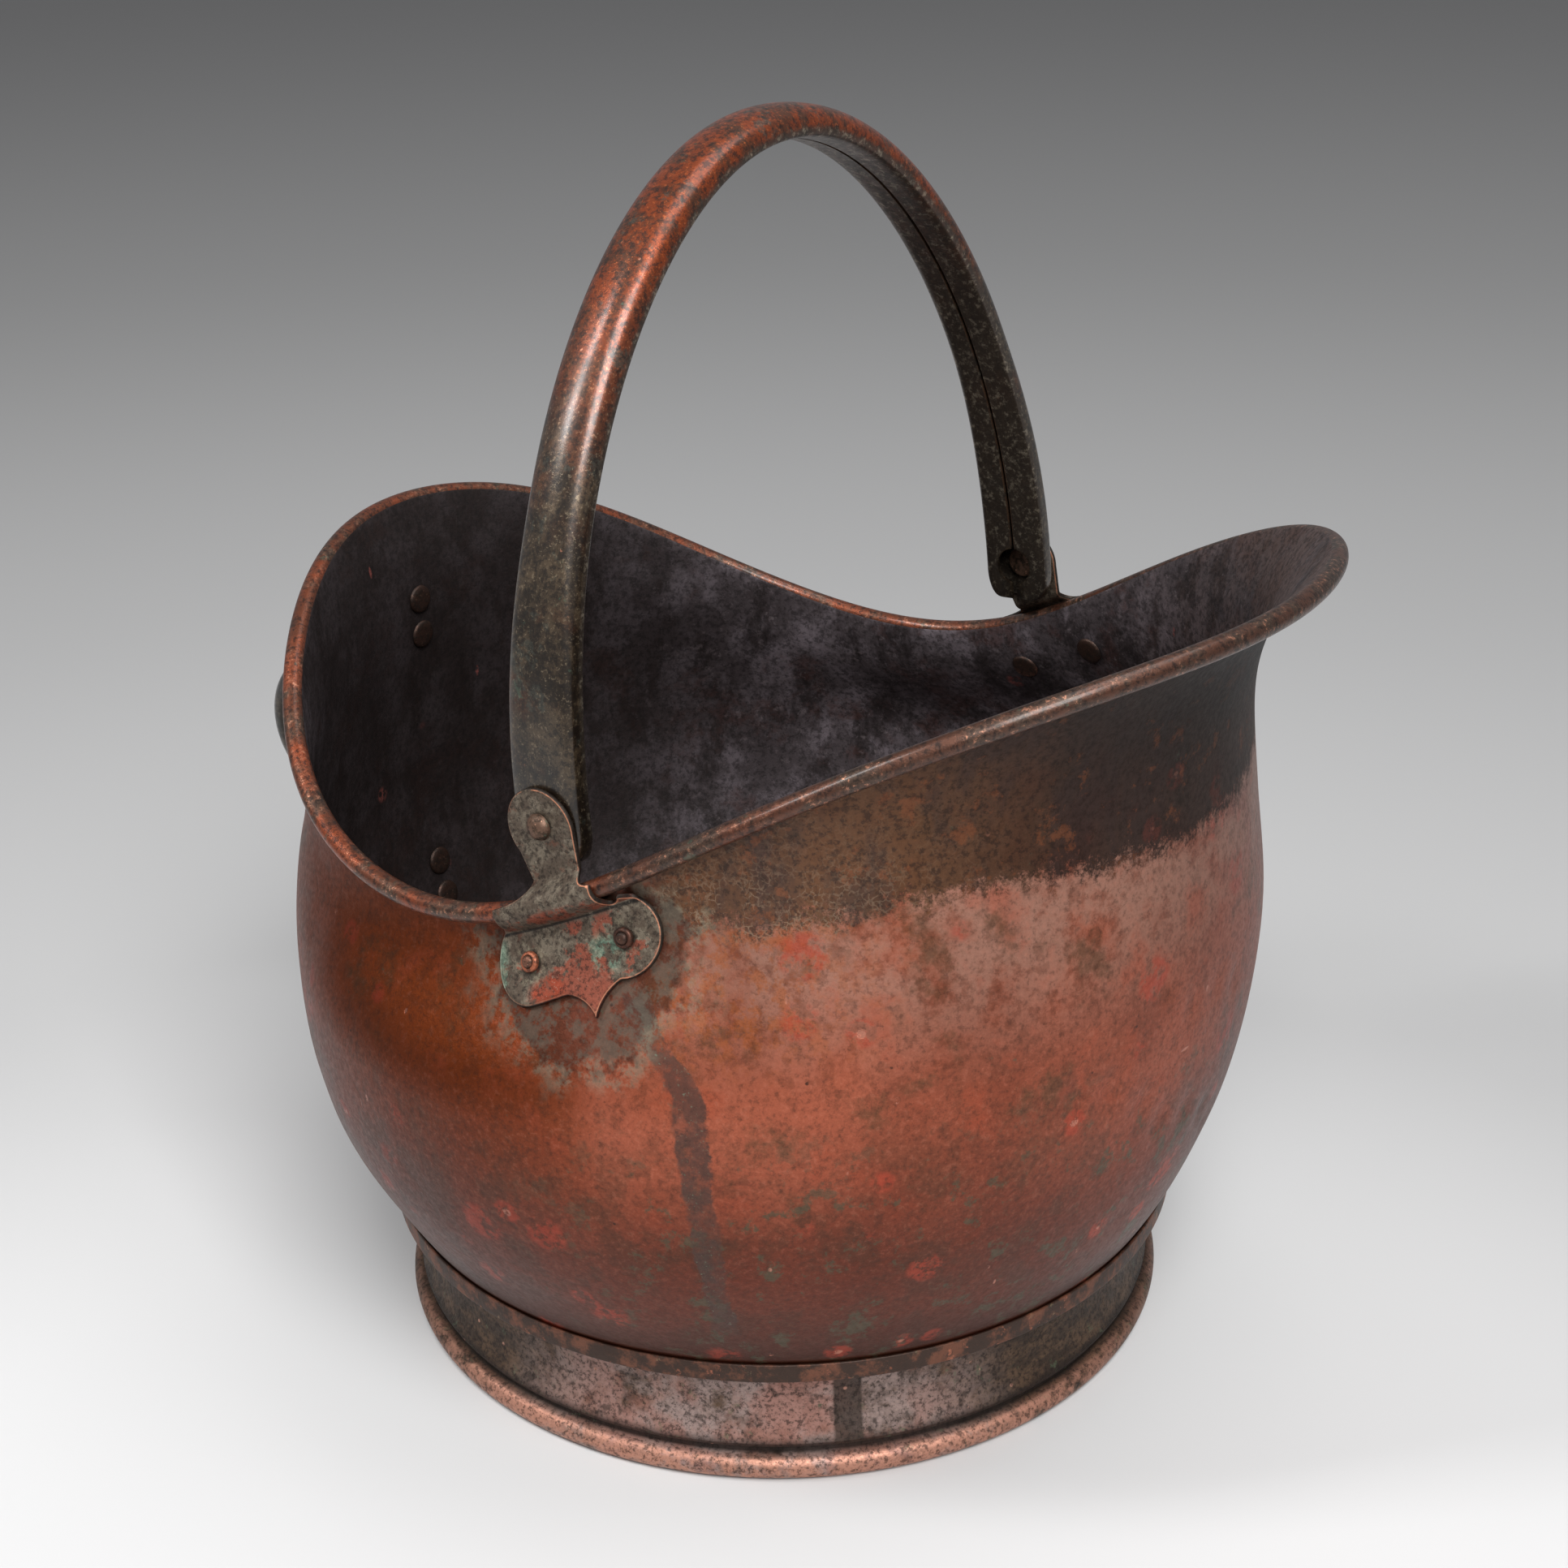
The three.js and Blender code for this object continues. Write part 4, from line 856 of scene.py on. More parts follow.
def copper_floor():
    finish = Finish("dark_copper_fold")
    mottle, grain = finish.clouds(8, 6, 0.7), finish.clouds(1.8, 5, 0.7)
    radius = finish.distance(finish.x - BELLY_AXIS / 1000, finish.y)
    ash = finish.lay("2a2321", "564c4a", finish.clouds(21, 7, 0.74).step(0.44, 0.62))
    colour = finish.coats(
        "3a2a22",
        ("6d4534", mottle.step(0.45, 0.62)),
        ("b06a50", finish.clouds(5, 6, 0.7).step(0.6, 0.68) * 0.7),
        ("55654f", finish.clouds(10, 6, 0.7).step(0.62, 0.68) * 0.5),
        (ash, radius.step(0.1408, 0.139) * finish.z.step(0.0487, 0.0492) * 0.92),
    )
    colour = finish.shade(colour, 0.7 + grain * 0.6)
    return finish.surface(colour, 0.42 + mottle * 0.2, 0.5, mottle * 0.3 + grain * 0.1)


# %% Turn the floor disc and the foot
def turned_piece(name, outline, closed, finish, nodes):
    graph, inputs = new_tree(name + "_turning", {"Outline": "NodeSocketGeometry", "Steps": "NodeSocketInt"})
    turned = add_turning(graph, inputs["Outline"], inputs["Steps"])
    tree = end_tree(graph, turned, finish)
    piece = bake(outline_object(name, outline, closed), tree, {"Steps": 360})
    piece.data.transform(Matrix.Translation((BELLY_AXIS / 1000, 0, 0)))
    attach(piece, "bucket")
    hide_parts(*nodes)


turned_piece("floor_disc", floor_outline, False, copper_floor(), ["base_disc"])
turned_piece("foot_skirt", foot_outline, True, copper_foot(), ["foot_ring"])

# %% [markdown]
# ## Straps rolled from sheet
#
# Bail and rear handle are straps whose edges are rolled in until they nearly meet: domed outside, flat inside,
# with an open seam along the flat face. The section is a loop of powered sines and cosines, and a second loop one
# sheet inside it. Where the strap becomes a flat pad the power grows, and the loop turns into a box.

# %% Section of a rolled strap
def between(first, last, share):
    return first + (last - first) * share


def strap_grid(places, across, outward, width, thickness, flatness, sheet=1.2, seam=1.3):
    """Rows of points along a strap, with two values for each: worn is 1 along the seam's lips, and hidden is 1
    on the flat face."""
    dome_share = between(0.62, 0.5, flatness)
    domed, flat = thickness * dome_share, thickness * (1 - dome_share)
    dome_power = 2 / (2.2 + 5.0 * flatness)
    angle = np.radians(np.arange(-80, 261, 5))
    cosine, sine = np.cos(angle)[None], np.sin(angle)[None]
    is_domed = (angle >= 0) & (angle <= np.pi)

    def loop(half, domed, flat):
        power = np.where(is_domed[None], dome_power[:, None], 0.4)
        height = np.where(is_domed[None], domed[:, None], flat[:, None]) * np.abs(sine) ** power
        sideways = half[:, None] * np.sign(cosine) * np.abs(cosine) ** power
        lips = [np.full(len(half), seam / 2), np.full(len(half), seam / 2 + 0.5)]
        lip_height = -flat
        across = np.column_stack([lips[0], lips[1], sideways, -lips[1], -lips[0]])
        up = np.column_stack([lip_height, lip_height, np.sign(sine) * height, lip_height, lip_height])
        return np.stack([across, up], -1)

    outer = loop(width / 2, domed, flat)
    inner = loop(width / 2 - sheet, domed - sheet, flat - sheet)[:, ::-1]
    section = np.concatenate([outer, inner], 1)
    grid = places[:, None] + across[:, None] * section[..., :1] + outward[:, None] * section[..., 1:]
    worn, hidden = np.zeros(section.shape[1]), np.ones(section.shape[1])
    worn[[0, outer.shape[1] - 1, outer.shape[1], -1]] = 1
    hidden[2 : outer.shape[1] - 2] = (~is_domed).astype(float)
    return grid, {"worn": np.tile(worn, (len(places), 1)), "hidden": np.tile(hidden, (len(places), 1))}


def keep_values(mesh, values):
    """Stores values on the mesh's points, by name."""
    for name, numbers in values.items():
        kept = mesh.attributes.new(name, "FLOAT", "POINT")
        kept.data.foreach_set("value", np.ravel(numbers).astype(np.float32))


def open_end_caps(columns, first, last):
    """Closes both ends of an open strap: its row runs up one face of the sheet and back down the other."""
    caps = []
    for row in (first, last):
        for at in range(columns // 2 - 1):
            caps.append([row + at, row + at + 1, row + columns - 2 - at, row + columns - 1 - at])
    return caps


def run_along(path):
    """The length of a polyline up to each of its points."""
    steps = np.linalg.norm(np.diff(path, axis=0), axis=1)
    return np.concatenate([[0], np.cumsum(steps)])


def follow(path, shares):
    """Points and directions along a fine polyline, at shares of its length, and the length."""
    run = run_along(path)
    at = np.clip(np.outer(shares, [1]) * run[-1] + np.array([-0.4, 0, 0.4]), 0, run[-1])
    before, here, after = [np.stack([np.interp(at[:, k], run, path[:, c]) for c in (0, 1)], 1) for k in range(3)]
    along = after - before
    return here, along / np.linalg.norm(along, axis=1, keepdims=True), run[-1]


def rounded_end(run, narrowest):
    return narrowest + (1 - narrowest) * np.sqrt(1 - (1 - np.minimum(1, run)) ** 2)


# %% [markdown]
# ## The bail
#
# The bail stands between the brackets as a tall arch. Its line is two straight ends and two long curves that meet
# at the crown. Thickness and width ease from the grip to the flatter ends, and each end is rounded off.
# Three holes finish it: the one the pivot rivet goes through, a wide one opposite through which its head was
# held, and the slot from there to the end. Boolean modifiers drill them, as a smith would after the bending.

# %% Bail mesh
PIVOT = np.array([16.4038, 237.3991])
HALF_SPAN = 136.977
BAIL_LEAN = math.radians(-5.2)
BAIL_WIDTH = (25.5, 22)  # at the ends, at the grip
BAIL_THICKNESS = (8.6, 11.2)
BAIL_FACE = HALF_SPAN + BAIL_THICKNESS[0] * 0.56
PIVOT_BORE, ACCESS_BORE = 3.1, 6.9
SLOT_WIDTH, SLOT_LENGTH = 3, 19.5


def curve2(corners, steps):
    """Points of a quadratic or cubic curve in a plane, with as many corners as it takes."""
    share = np.linspace(0, 1, steps + 1)[:, None]
    points = [np.array(corner, float)[None] + 0 * share for corner in corners]
    while len(points) > 1:
        points = [a + (b - a) * share for a, b in zip(points, points[1:])]
    return points[0]


def bail_line():
    left = curve2([(-HALF_SPAN, 0), (-HALF_SPAN, 95), (-73, 184), (0, 184)], 400)
    right = left[::-1] * (-1, 1)
    return np.concatenate([[(-HALF_SPAN, -13)], left, right[1:], [(HALF_SPAN, -13)]])


def make_bail(finish):
    round_off = 10.4
    path = bail_line()
    length = follow(path, np.array([0.5]))[2]
    ends = np.linspace(0, 1, 12) ** 1.6 * round_off / length
    middle = np.linspace(ends[-1], 1 - ends[-1], 190)
    shares = np.concatenate([ends[:-1], middle, 1 - ends[:-1][::-1]])
    here, along, length = follow(path, shares)
    from_end = np.minimum(shares, 1 - shares) * length
    ease = smooth_step(from_end, 26, 110)
    width = between(*BAIL_WIDTH, ease) * rounded_end(from_end / round_off, 0.62)
    thickness = between(*BAIL_THICKNESS, ease) * rounded_end(from_end / round_off, 0.9)
    nought = np.zeros(len(shares))
    places = np.column_stack([nought, here])
    outward = np.column_stack([nought, -along[:, 1], along[:, 0]])
    across = np.tile([1.0, 0, 0], (len(shares), 1))
    grid, values = strap_grid(places, across, outward, width, thickness, 0.5 * (1 - ease))
    rows, columns = grid.shape[:2]
    faces = grid_faces(rows, columns, False) + open_end_caps(columns, 0, (rows - 1) * columns)
    mesh = new_mesh("bail_strap", grid.reshape(-1, 3).tolist(), faces)
    keep_values(mesh, values)
    return drill_bail(link_piece("bail_strap", face_outward(mesh), finish))


def drill_bail(bail):
    """Cuts the holes in both legs, and then lays the bail back and into its place."""
    pivot_drill, access_drill, slot_saw = drills = [bmesh.new() for _ in range(3)]
    depth = BAIL_THICKNESS[0]
    for side in (-1, 1):
        inner_face, outer_face = side * (HALF_SPAN - depth / 2), side * (HALF_SPAN + depth / 2)
        for work, radius, length, middle in (
            (pivot_drill, PIVOT_BORE, depth, outer_face),
            (access_drill, ACCESS_BORE, depth / 2, inner_face),
        ):
            turn = Matrix.Translation((0, middle, 0)) @ Matrix.Rotation(math.pi / 2, 4, "X")
            size = {"segments": 48, "radius1": radius, "radius2": radius, "depth": length}
            bmesh.ops.create_cone(work, cap_ends=True, matrix=turn, **size)
        slot = Matrix.Diagonal((SLOT_WIDTH, depth / 2, SLOT_LENGTH, 1))
        slot = Matrix.Translation((0, inner_face, -SLOT_LENGTH / 2)) @ slot
        bmesh.ops.create_cube(slot_saw, size=1, matrix=slot)
    tools = []
    for at, work in enumerate(drills):
        mesh = bpy.data.meshes.new(f"drill_{at}")
        work.to_mesh(mesh)
        work.free()
        tools.append(link_piece(f"drill_{at}", mesh))
        modifier = bail.modifiers.new(f"drill_{at}", "BOOLEAN")
        modifier.operation, modifier.solver, modifier.object = "DIFFERENCE", "EXACT", tools[-1]
    bpy.context.view_layer.update()
    drilled = bpy.data.meshes.new_from_object(bail.evaluated_get(bpy.context.evaluated_depsgraph_get()))
    bail.modifiers.clear()
    for tool in tools:
        bpy.data.objects.remove(tool)
    bail.data = drilled
    place = Matrix.Translation((PIVOT[0] + BELLY_AXIS, 0, PIVOT[1])) @ Matrix.Rotation(BAIL_LEAN, 4, "Y")
    drilled.transform(Matrix.Scale(0.001, 4) @ place)
    face_outward(drilled)
    print("bail", len(drilled.polygons), "faces after drilling")
    return bail


# %% [markdown]
# The bail is dark towards its ends, where soot and old polish gathered, and clean orange copper at the crown,
# where it is carried. Its inner face is dull grey-brown with soot. The seam's lips are worn brown.

# %% Finish of the bail
def copper_bail():
    finish = Finish("bail_copper_handled")
    z = finish.z
    mottle, broad = finish.clouds(9, 6, 0.72, finish.drawn(1, 1, 0.6)), finish.clouds(40, 5, 0.6)
    grain, dust = [finish.clouds(size, 5, 0.74).step(0.34, 0.66) for size in (2.2, 1.0)]
    high = (z + (broad - 0.5) * 0.1 + (mottle - 0.5) * 0.08).step(0.335, 0.4)
    hidden, worn = finish.mesh_value("hidden"), finish.mesh_value("worn").step(0.15, 0.9)
    leg = finish.coats(
        "30261c",
        ("5c4c3a", mottle.step(0.42, 0.62)),
        ("6c3f26", broad.step(0.5, 0.66) * 0.6),
    )
    crown = finish.lay("873a14", "55301d", mottle.step(0.44, 0.6))
    pale = finish.lay("8d7d66", "b55f31", high)
    sooty = finish.lay("463d36", "958a79", finish.clouds(2.6, 5, 0.78).step(0.5, 0.66))
    colour = finish.coats(
        leg,
        (crown, high),
        ("474a42", finish.clouds(13, 6, 0.74).step(0.56, 0.63) * 0.7),
        ("211913", grain.step(0.46, 0.08) * 0.7),
        ("211913", finish.clouds(4.5, 6, 0.74).step(0.54, 0.62) * 0.55),
        (pale, dust.step(0.66, 1.0) * grain.step(0.4, 0.8) * 0.75),
        ("4f6350", finish.clouds(7, 6, 0.74).step(0.64, 0.7) * 0.6),
        ("c58468", finish.flecks(6, 0.1, 0.25) * dust.step(0.3, 0.6) * 0.7),
        (sooty, hidden * 0.85),
        ("6f5340", worn * finish.clouds(6, 4, 0.6).step(0.4, 0.55) * 0.8),
    )
    colour = finish.shade(colour, (0.74 + grain * 0.2 + dust * 0.14) * (0.45 + 0.55 * z.step(0.2, 0.33)))
    roughness = 0.2 + mottle * 0.18 + (1 - grain) * 0.1 + high * 0.08
    relief = mottle * 0.16 + grain * 0.02 + dust * 0.01
    return finish.surface(colour, roughness, 0.55, relief, 0.9 * (1 - high * 0.5) * (1 - hidden * 0.8))


bail_finish = copper_bail()
bail = make_bail(bail_finish)
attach(bail, "bail")
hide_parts("bail_handle")

# %% [markdown]
# ## The rear handle
#
# The tipping handle is the same strap, smaller. Its line lies in the plane of symmetry: down a pad on the wall,
# out over a bend, round the crown and back to a second pad. The pads follow the wall's own line, half a
# millimetre off it, so their middle is read from the wall at the hood.

# %% Rear handle mesh
def back_wall(height, distance):
    """A point off the wall at the hood, as (distance behind the belly's axis, height)."""
    line, along = [part[..., 0] for part in wall_line(np.array([np.pi]))[2:]]
    radius = np.interp(height, line[:, 1], line[:, 0])
    run = np.stack([np.interp(height, line[:, 1], along[:, axis]) for axis in (0, 1)], -1)
    return np.stack([radius + run[..., 1] * distance, height - run[..., 0] * distance], -1)


REAR_MIDDLE, REAR_CROWN = 166, 25
REAR_WIDTH = (25, 21)  # at the pads, at the grip
REAR_THICKNESS = (2.9, 10)
REAR_SEAT = 0.5 + REAR_THICKNESS[0] - 1.45
PAD_LENGTH, PAD_GAP, BEND = 34, 9, 12.6


def rear_root(end):
    return REAR_MIDDLE + end * (REAR_CROWN + 5.5)


def rear_line():
    pads, bends = [], []
    for end in (1, -1):
        root = rear_root(end) + end * PAD_GAP
        pads.append(back_wall(np.linspace(root + end * PAD_LENGTH, root, 24), REAR_SEAT))
        corner = back_wall(rear_root(end), REAR_SEAT)
        bends.append(curve2([pads[-1][-1], corner, corner + (BEND, -end)], 24))
        bends[-1][-1] = (corner[0] + BEND, rear_root(end) - end)
    middle = 246 - 6.2 - REAR_CROWN
    crown = arc((middle, REAR_MIDDLE), REAR_CROWN, 90, -90, 90)
    return np.concatenate([pads[0], bends[0][1:], crown, bends[1][::-1], pads[1][::-1][1:]])


def make_rear_handle(finish):
    path = rear_line()
    shares = np.linspace(0, 1, 181)
    here, along, length = follow(path, shares)
    from_end = np.minimum(shares, 1 - shares) * length
    grip = smooth_step(from_end - PAD_LENGTH, 4, 28)
    pad_width, grip_width = REAR_WIDTH
    width = pad_width * rounded_end(from_end / 8, 0.55) * (1 - grip) + grip_width * grip
    thickness = between(*REAR_THICKNESS, grip)
    nought = np.zeros(len(shares))
    places = np.column_stack([-here[:, 0], nought, here[:, 1]])
    outward = np.column_stack([along[:, 1], nought, along[:, 0]])
    across = np.tile([0, 1.0, 0], (len(shares), 1))
    grid, values = strap_grid(places, across, outward, width, thickness, 1 - grip)
    rows, columns = grid.shape[:2]
    caps = open_end_caps(columns, 0, (rows - 1) * columns)
    mesh = mesh_from_grid("rear_strap", grid, False, caps)
    keep_values(mesh, values)
    print("rear handle", rows, "rows,", round(length), "mm of strap")
    return link_piece("rear_strap", face_outward(mesh), finish)


rear = make_rear_handle(bail_finish)
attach(rear, "bucket")
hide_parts("rear_handle")

# %% [markdown]
# ## The brackets
#
# Each bracket is one plate, cut out flat and then bent: a pear-shaped ear for the pivot, a saddle over the rolled
# edge, and a plate with two lobes and a point, which lies on the wall. A flat outline is easy to fill with
# triangles and hard to bend afterwards as one polygon, so it is filled first, with a fine net of points, and then
# each point is carried onto the bent sheet. The sheet's line is worked out for many upright cuts side by side.

# %% Where the bent sheet runs
BRACKET_X, BRACKET_Z, BRACKET_SLOPE = 21, 213.645, 0.448137
BRACKET_SHEET, CLEARANCE = 1.6, 0.3
EAR_INSIDE = BAIL_FACE + CLEARANCE

side_azimuth = np.linspace(0.2, 2.8, 800)
wall_heights = np.arange(120, 262, 1.0)
side_x = np.arange(-60, 110, 1.0)


def wall_out_table():
    """How far out the wall is, by height and X, on either side."""
    line = wall_line(side_azimuth)[2]
    cuts = range(len(side_azimuth))
    radius = np.stack([np.interp(wall_heights, line[:, 1, at], line[:, 0, at]) for at in cuts], 1)
    x, out = radius * np.cos(side_azimuth), radius * np.sin(side_azimuth)
    return np.stack([np.interp(side_x, x[row][::-1], out[row][::-1]) for row in range(len(wall_heights))])


WALL_OUT = wall_out_table()
WALL_BY_HEIGHT, WALL_BY_X = np.gradient(WALL_OUT, wall_heights, side_x)


def read_table(table, row, column):
    """A value between the table's own places. Row and column need not be whole."""
    row, column = [np.clip(at, 0, count - 1.001) for at, count in zip((row, column), table.shape)]
    r, c = np.floor(row).astype(int), np.floor(column).astype(int)
    down, aside = row - r, column - c
    low = table[r, c] * (1 - aside) + table[r, c + 1] * aside
    high = table[r + 1, c] * (1 - aside) + table[r + 1, c + 1] * aside
    return low * (1 - down) + high * down


def read_wall(table, x, height):
    return read_table(table, height - wall_heights[0], x - side_x[0])


def bead_at_x(x):
    radius, height = round_mouth(MOUTH_RADIUS, side_azimuth), round_mouth(MOUTH_HEIGHT, side_azimuth)
    azimuth = np.interp(x, (radius * np.cos(side_azimuth))[::-1], side_azimuth[::-1])
    radius, height = round_mouth(MOUTH_RADIUS, azimuth), round_mouth(MOUTH_HEIGHT, azimuth)
    return radius * np.sin(azimuth), height


def bracket_line(x):
    """The middle of the bent sheet at one X, from the ear's top down, as (distance out, height)."""
    bead_out, bead_up = bead_at_x(np.array(x, float))
    saddle, stretch = BEAD_RADIUS + CLEARANCE + BRACKET_SHEET / 2, 1 / math.cos(BRACKET_SLOPE)
    ear = EAR_INSIDE + BRACKET_SHEET / 2
    angle = np.radians(np.linspace(62, -55, 22))
    over = np.stack([bead_out + saddle * np.cos(angle), bead_up + saddle * stretch * np.sin(angle)], 1)
    ear_foot = bead_up + saddle * stretch + 2.6
    height = over[-1, 1] - 3 - np.linspace(0, 44, 40)
    lean = np.sqrt(1 + read_wall(WALL_BY_X, x, height) ** 2 + read_wall(WALL_BY_HEIGHT, x, height) ** 2)
    wall = np.stack([read_wall(WALL_OUT, x, height) + (CLEARANCE + BRACKET_SHEET / 2) * lean, height], 1)
    return np.concatenate([[(ear, PIVOT[1] + 26), (ear, ear_foot)], over, wall])


line_x = np.arange(-22, 66, 1.0)
line_z = np.arange(150, 265, 0.5)


def bent_sheet_tables():
    """The sheet's middle and its direction, by X and height."""
    out, run_out, run_up = [], [], []
    for x in line_x:
        line = bracket_line(x)
        fine = np.interp(line_z, line[::-1, 1], line[::-1, 0])
        soft = np.convolve(np.pad(fine, 2, "edge"), [0.1, 0.2, 0.4, 0.2, 0.1], "valid")
        slope = np.gradient(soft, line_z)
        out.append(soft)
        run_out.append(-slope / np.hypot(1, slope))
        run_up.append(-1 / np.hypot(1, slope))
    return np.array(out), np.array(run_out), np.array(run_up)


SHEET_OUT, SHEET_RUN_OUT, SHEET_RUN_UP = bent_sheet_tables()


def on_bracket(along, upward):
    """From the bracket's own measures, along the rim and up across it, to X and height."""
    cosine, sine = math.cos(BRACKET_SLOPE), math.sin(BRACKET_SLOPE)
    return BRACKET_X + along * cosine - upward * sine, BRACKET_Z + along * sine + upward * cosine


def on_sheet(flat, offset, side):
    """Carries flat points onto the bent sheet, offset outward from its middle, in metres."""
    x, z = on_bracket(flat[:, 0], flat[:, 1])
    place = (x - line_x[0], (z - line_z[0]) * 2)
    out = read_table(SHEET_OUT, *place) - read_table(SHEET_RUN_UP, *place) * offset
    up = z + read_table(SHEET_RUN_OUT, *place) * offset
    return np.stack([x + BELLY_AXIS, side * out, up], 1) / 1000


print("the wall lies", round(float(read_wall(WALL_OUT, BRACKET_X, 195)), 1), "mm out at the plate")


# %% [markdown]
# The outline is arcs and short curves, in the order a pair of snips would go round it. The face is set a third of
# a millimetre inside it and the edge is a narrow band between, so that the light catches the worn arris.

# %% Bracket outline and net
LOBES_MIDDLE, LOBES_APART, RIVETS_APART, RIVETS_UP = 3, 17.5, 17.7, -16.4
BRACKET_HOLES = [
    ((6.15, 23.4), 3.1),
    ((LOBES_MIDDLE - RIVETS_APART, RIVETS_UP), 2.15),
    ((LOBES_MIDDLE + RIVETS_APART, RIVETS_UP), 2.15),
]


def bracket_outline():
    lobe, shoulder = 13, math.radians(68)
    back, front = LOBES_MIDDLE - LOBES_APART, LOBES_MIDDLE + LOBES_APART
    lobe_top = lobe * math.sin(shoulder) - 15
    tip, hollow = (7.6, -36), -27.6 - 2.2
    parts = [
        curve2([tip, (tip[0] + 2.6, hollow), (tip[0] + 9.6, -27.6)], 12),
        [(front - 1.5, -28)],
        arc((front, -15), lobe, -90, 68, 36),
        curve2([(front + lobe * math.cos(shoulder), lobe_top), (20, -6.4), (20, -3.4)], 8),
        curve2([(20, 3.2), (14.4, 3.2), (14.4, 7)], 8),
        arc((5.4, 22.5), 13, -22, 202, 56),
        curve2([(-6, 7), (-6, 3.2), (-20, 3.2)], 12),
        [(-20, -2.6)],
        arc((back, -15), lobe, 118, 270, 36),
        [(back + 1.5, -28)],
        curve2([(tip[0] - 9.6, -27.6), (tip[0] - 2.6, hollow), tip], 12)[:-1],
    ]
    rough = np.concatenate(parts)
    closed = np.concatenate([rough, rough[:1]])
    run = run_along(closed)
    at = np.linspace(0, run[-1], 300, endpoint=False)
    return np.stack([np.interp(at, run, closed[:, axis]) for axis in (0, 1)], 1)


def is_inside(points, loop):
    """Counts how often a level line from each point crosses the loop."""
    a, b = loop, np.roll(loop, -1, 0)
    x, y = points[:, :1], points[:, 1:]
    spans = (a[:, 1] > y) != (b[:, 1] > y)
    crossing = (b[:, 0] - a[:, 0]) * (y - a[:, 1]) / (b[:, 1] - a[:, 1] + 1e-12) + a[:, 0]
    return (spans & (x < crossing)).sum(1) % 2 == 1


def distance_to(points, loop):
    return np.sqrt(((points[:, None] - loop[None]) ** 2).sum(-1)).min(1)


def bracket_net():
    """The flat plate: its outline, the face's own loop just inside, and a net of points with their triangles."""
    outline = bracket_outline()
    along = np.roll(outline, -1, 0) - np.roll(outline, 1, 0)
    inward = np.stack([-along[:, 1], along[:, 0]], 1) / np.linalg.norm(along, axis=1, keepdims=True)
    inset = 0.34
    face = outline + inward * inset
    holes = [arc(middle, radius, 0, 360, 28)[:-1] for middle, radius in BRACKET_HOLES]
    x, y = np.meshgrid(np.arange(-30, 36, 1.05), np.arange(-37, 37, 0.9))
    x = x + 0.5 * (np.arange(x.shape[0]) % 2)[:, None]
    net = np.stack([x.ravel(), y.ravel()], 1)
    net = net[is_inside(net, face)]
    net = net[distance_to(net, face) > 0.6]
    for middle, radius in BRACKET_HOLES:
        net = net[np.linalg.norm(net - middle, axis=1) > radius + 0.5]
    points = np.concatenate([face, *holes, net])
    loops, start = [], 0
    for loop in (face, *holes):
        loops.append(list(range(start, start + len(loop))))
        start += len(loop)
    edges = [(loop[at], loop[(at + 1) % len(loop)]) for loop in loops for at in range(len(loop))]
    found = delaunay_2d_cdt([Vector(point) for point in points], edges, [], 1, 1e-6, True)
    original = [ids[0] for ids in found[3]]
    triangles = np.array([[original[corner] for corner in face] for face in found[2]])
    middles = points[triangles].mean(1)
    keep = is_inside(middles, face)
    for middle, radius in BRACKET_HOLES:
        keep &= np.linalg.norm(middles - middle, axis=1) > radius * 0.99
    return outline, points, triangles[keep], loops


# %% [markdown]
# The two faces, the band of the edge and the walls of the holes together close the plate. Each point also keeps
# its distance from the outline, so that the finish can paint shade on the cut edge and rub its corner.

# %% Bracket mesh
def make_bracket(name, side, net, finish):
    outline, points, triangles, loops = net
    half, arris = BRACKET_SHEET / 2, 0.3
    layers = [
        on_sheet(points, half, side),
        on_sheet(points, -half, side),
        on_sheet(outline, half - arris, side),
        on_sheet(outline, arris - half, side),
    ]
    starts = np.cumsum([0] + [len(layer) for layer in layers])
    faces = triangles.tolist() + (triangles[:, ::-1] + starts[1]).tolist()

    def band(upper, lower):
        count = len(upper)
        for at in range(count):
            beside = (at + 1) % count
            faces.append([upper[at], lower[at], lower[beside], upper[beside]])

    def loop_on(layer, loop):
        return [starts[layer] + at for at in loop]

    rim, face_loop, *holes = list(range(len(outline))), *loops
    band(face_loop, loop_on(2, rim))
    band(loop_on(2, rim), loop_on(3, rim))
    band(loop_on(3, rim), loop_on(1, face_loop))
    for hole in holes:
        band(hole, loop_on(1, hole))
    mesh = new_mesh(name, np.concatenate(layers).tolist(), faces)
    from_edge = distance_to(points, outline)
    distances = np.concatenate([from_edge, from_edge, 0 * outline[:, 0], 0 * outline[:, 0]])
    flat_places = np.concatenate([points, points, outline, outline])
    keep_values(mesh, {"from_edge": distances, "along": flat_places[:, 0], "upward": flat_places[:, 1]})
    piece = link_piece(name, face_outward(mesh, 50), finish)
    print(name, len(faces), "faces")
    return piece


# %% [markdown]
# The ear and the saddle are dull grey-brown, the saddle's lower roll is rubbed orange, and on the plate bare red
# copper comes through from the middle to the point. Verdigris sits by the front rivet and along the back edge,
# pale rings of old polish lie round the roves, and the cut edge has a rubbed corner. Painted shade darkens the cut
# edge, a line under the saddle's roll and a thin ring close round each rove.

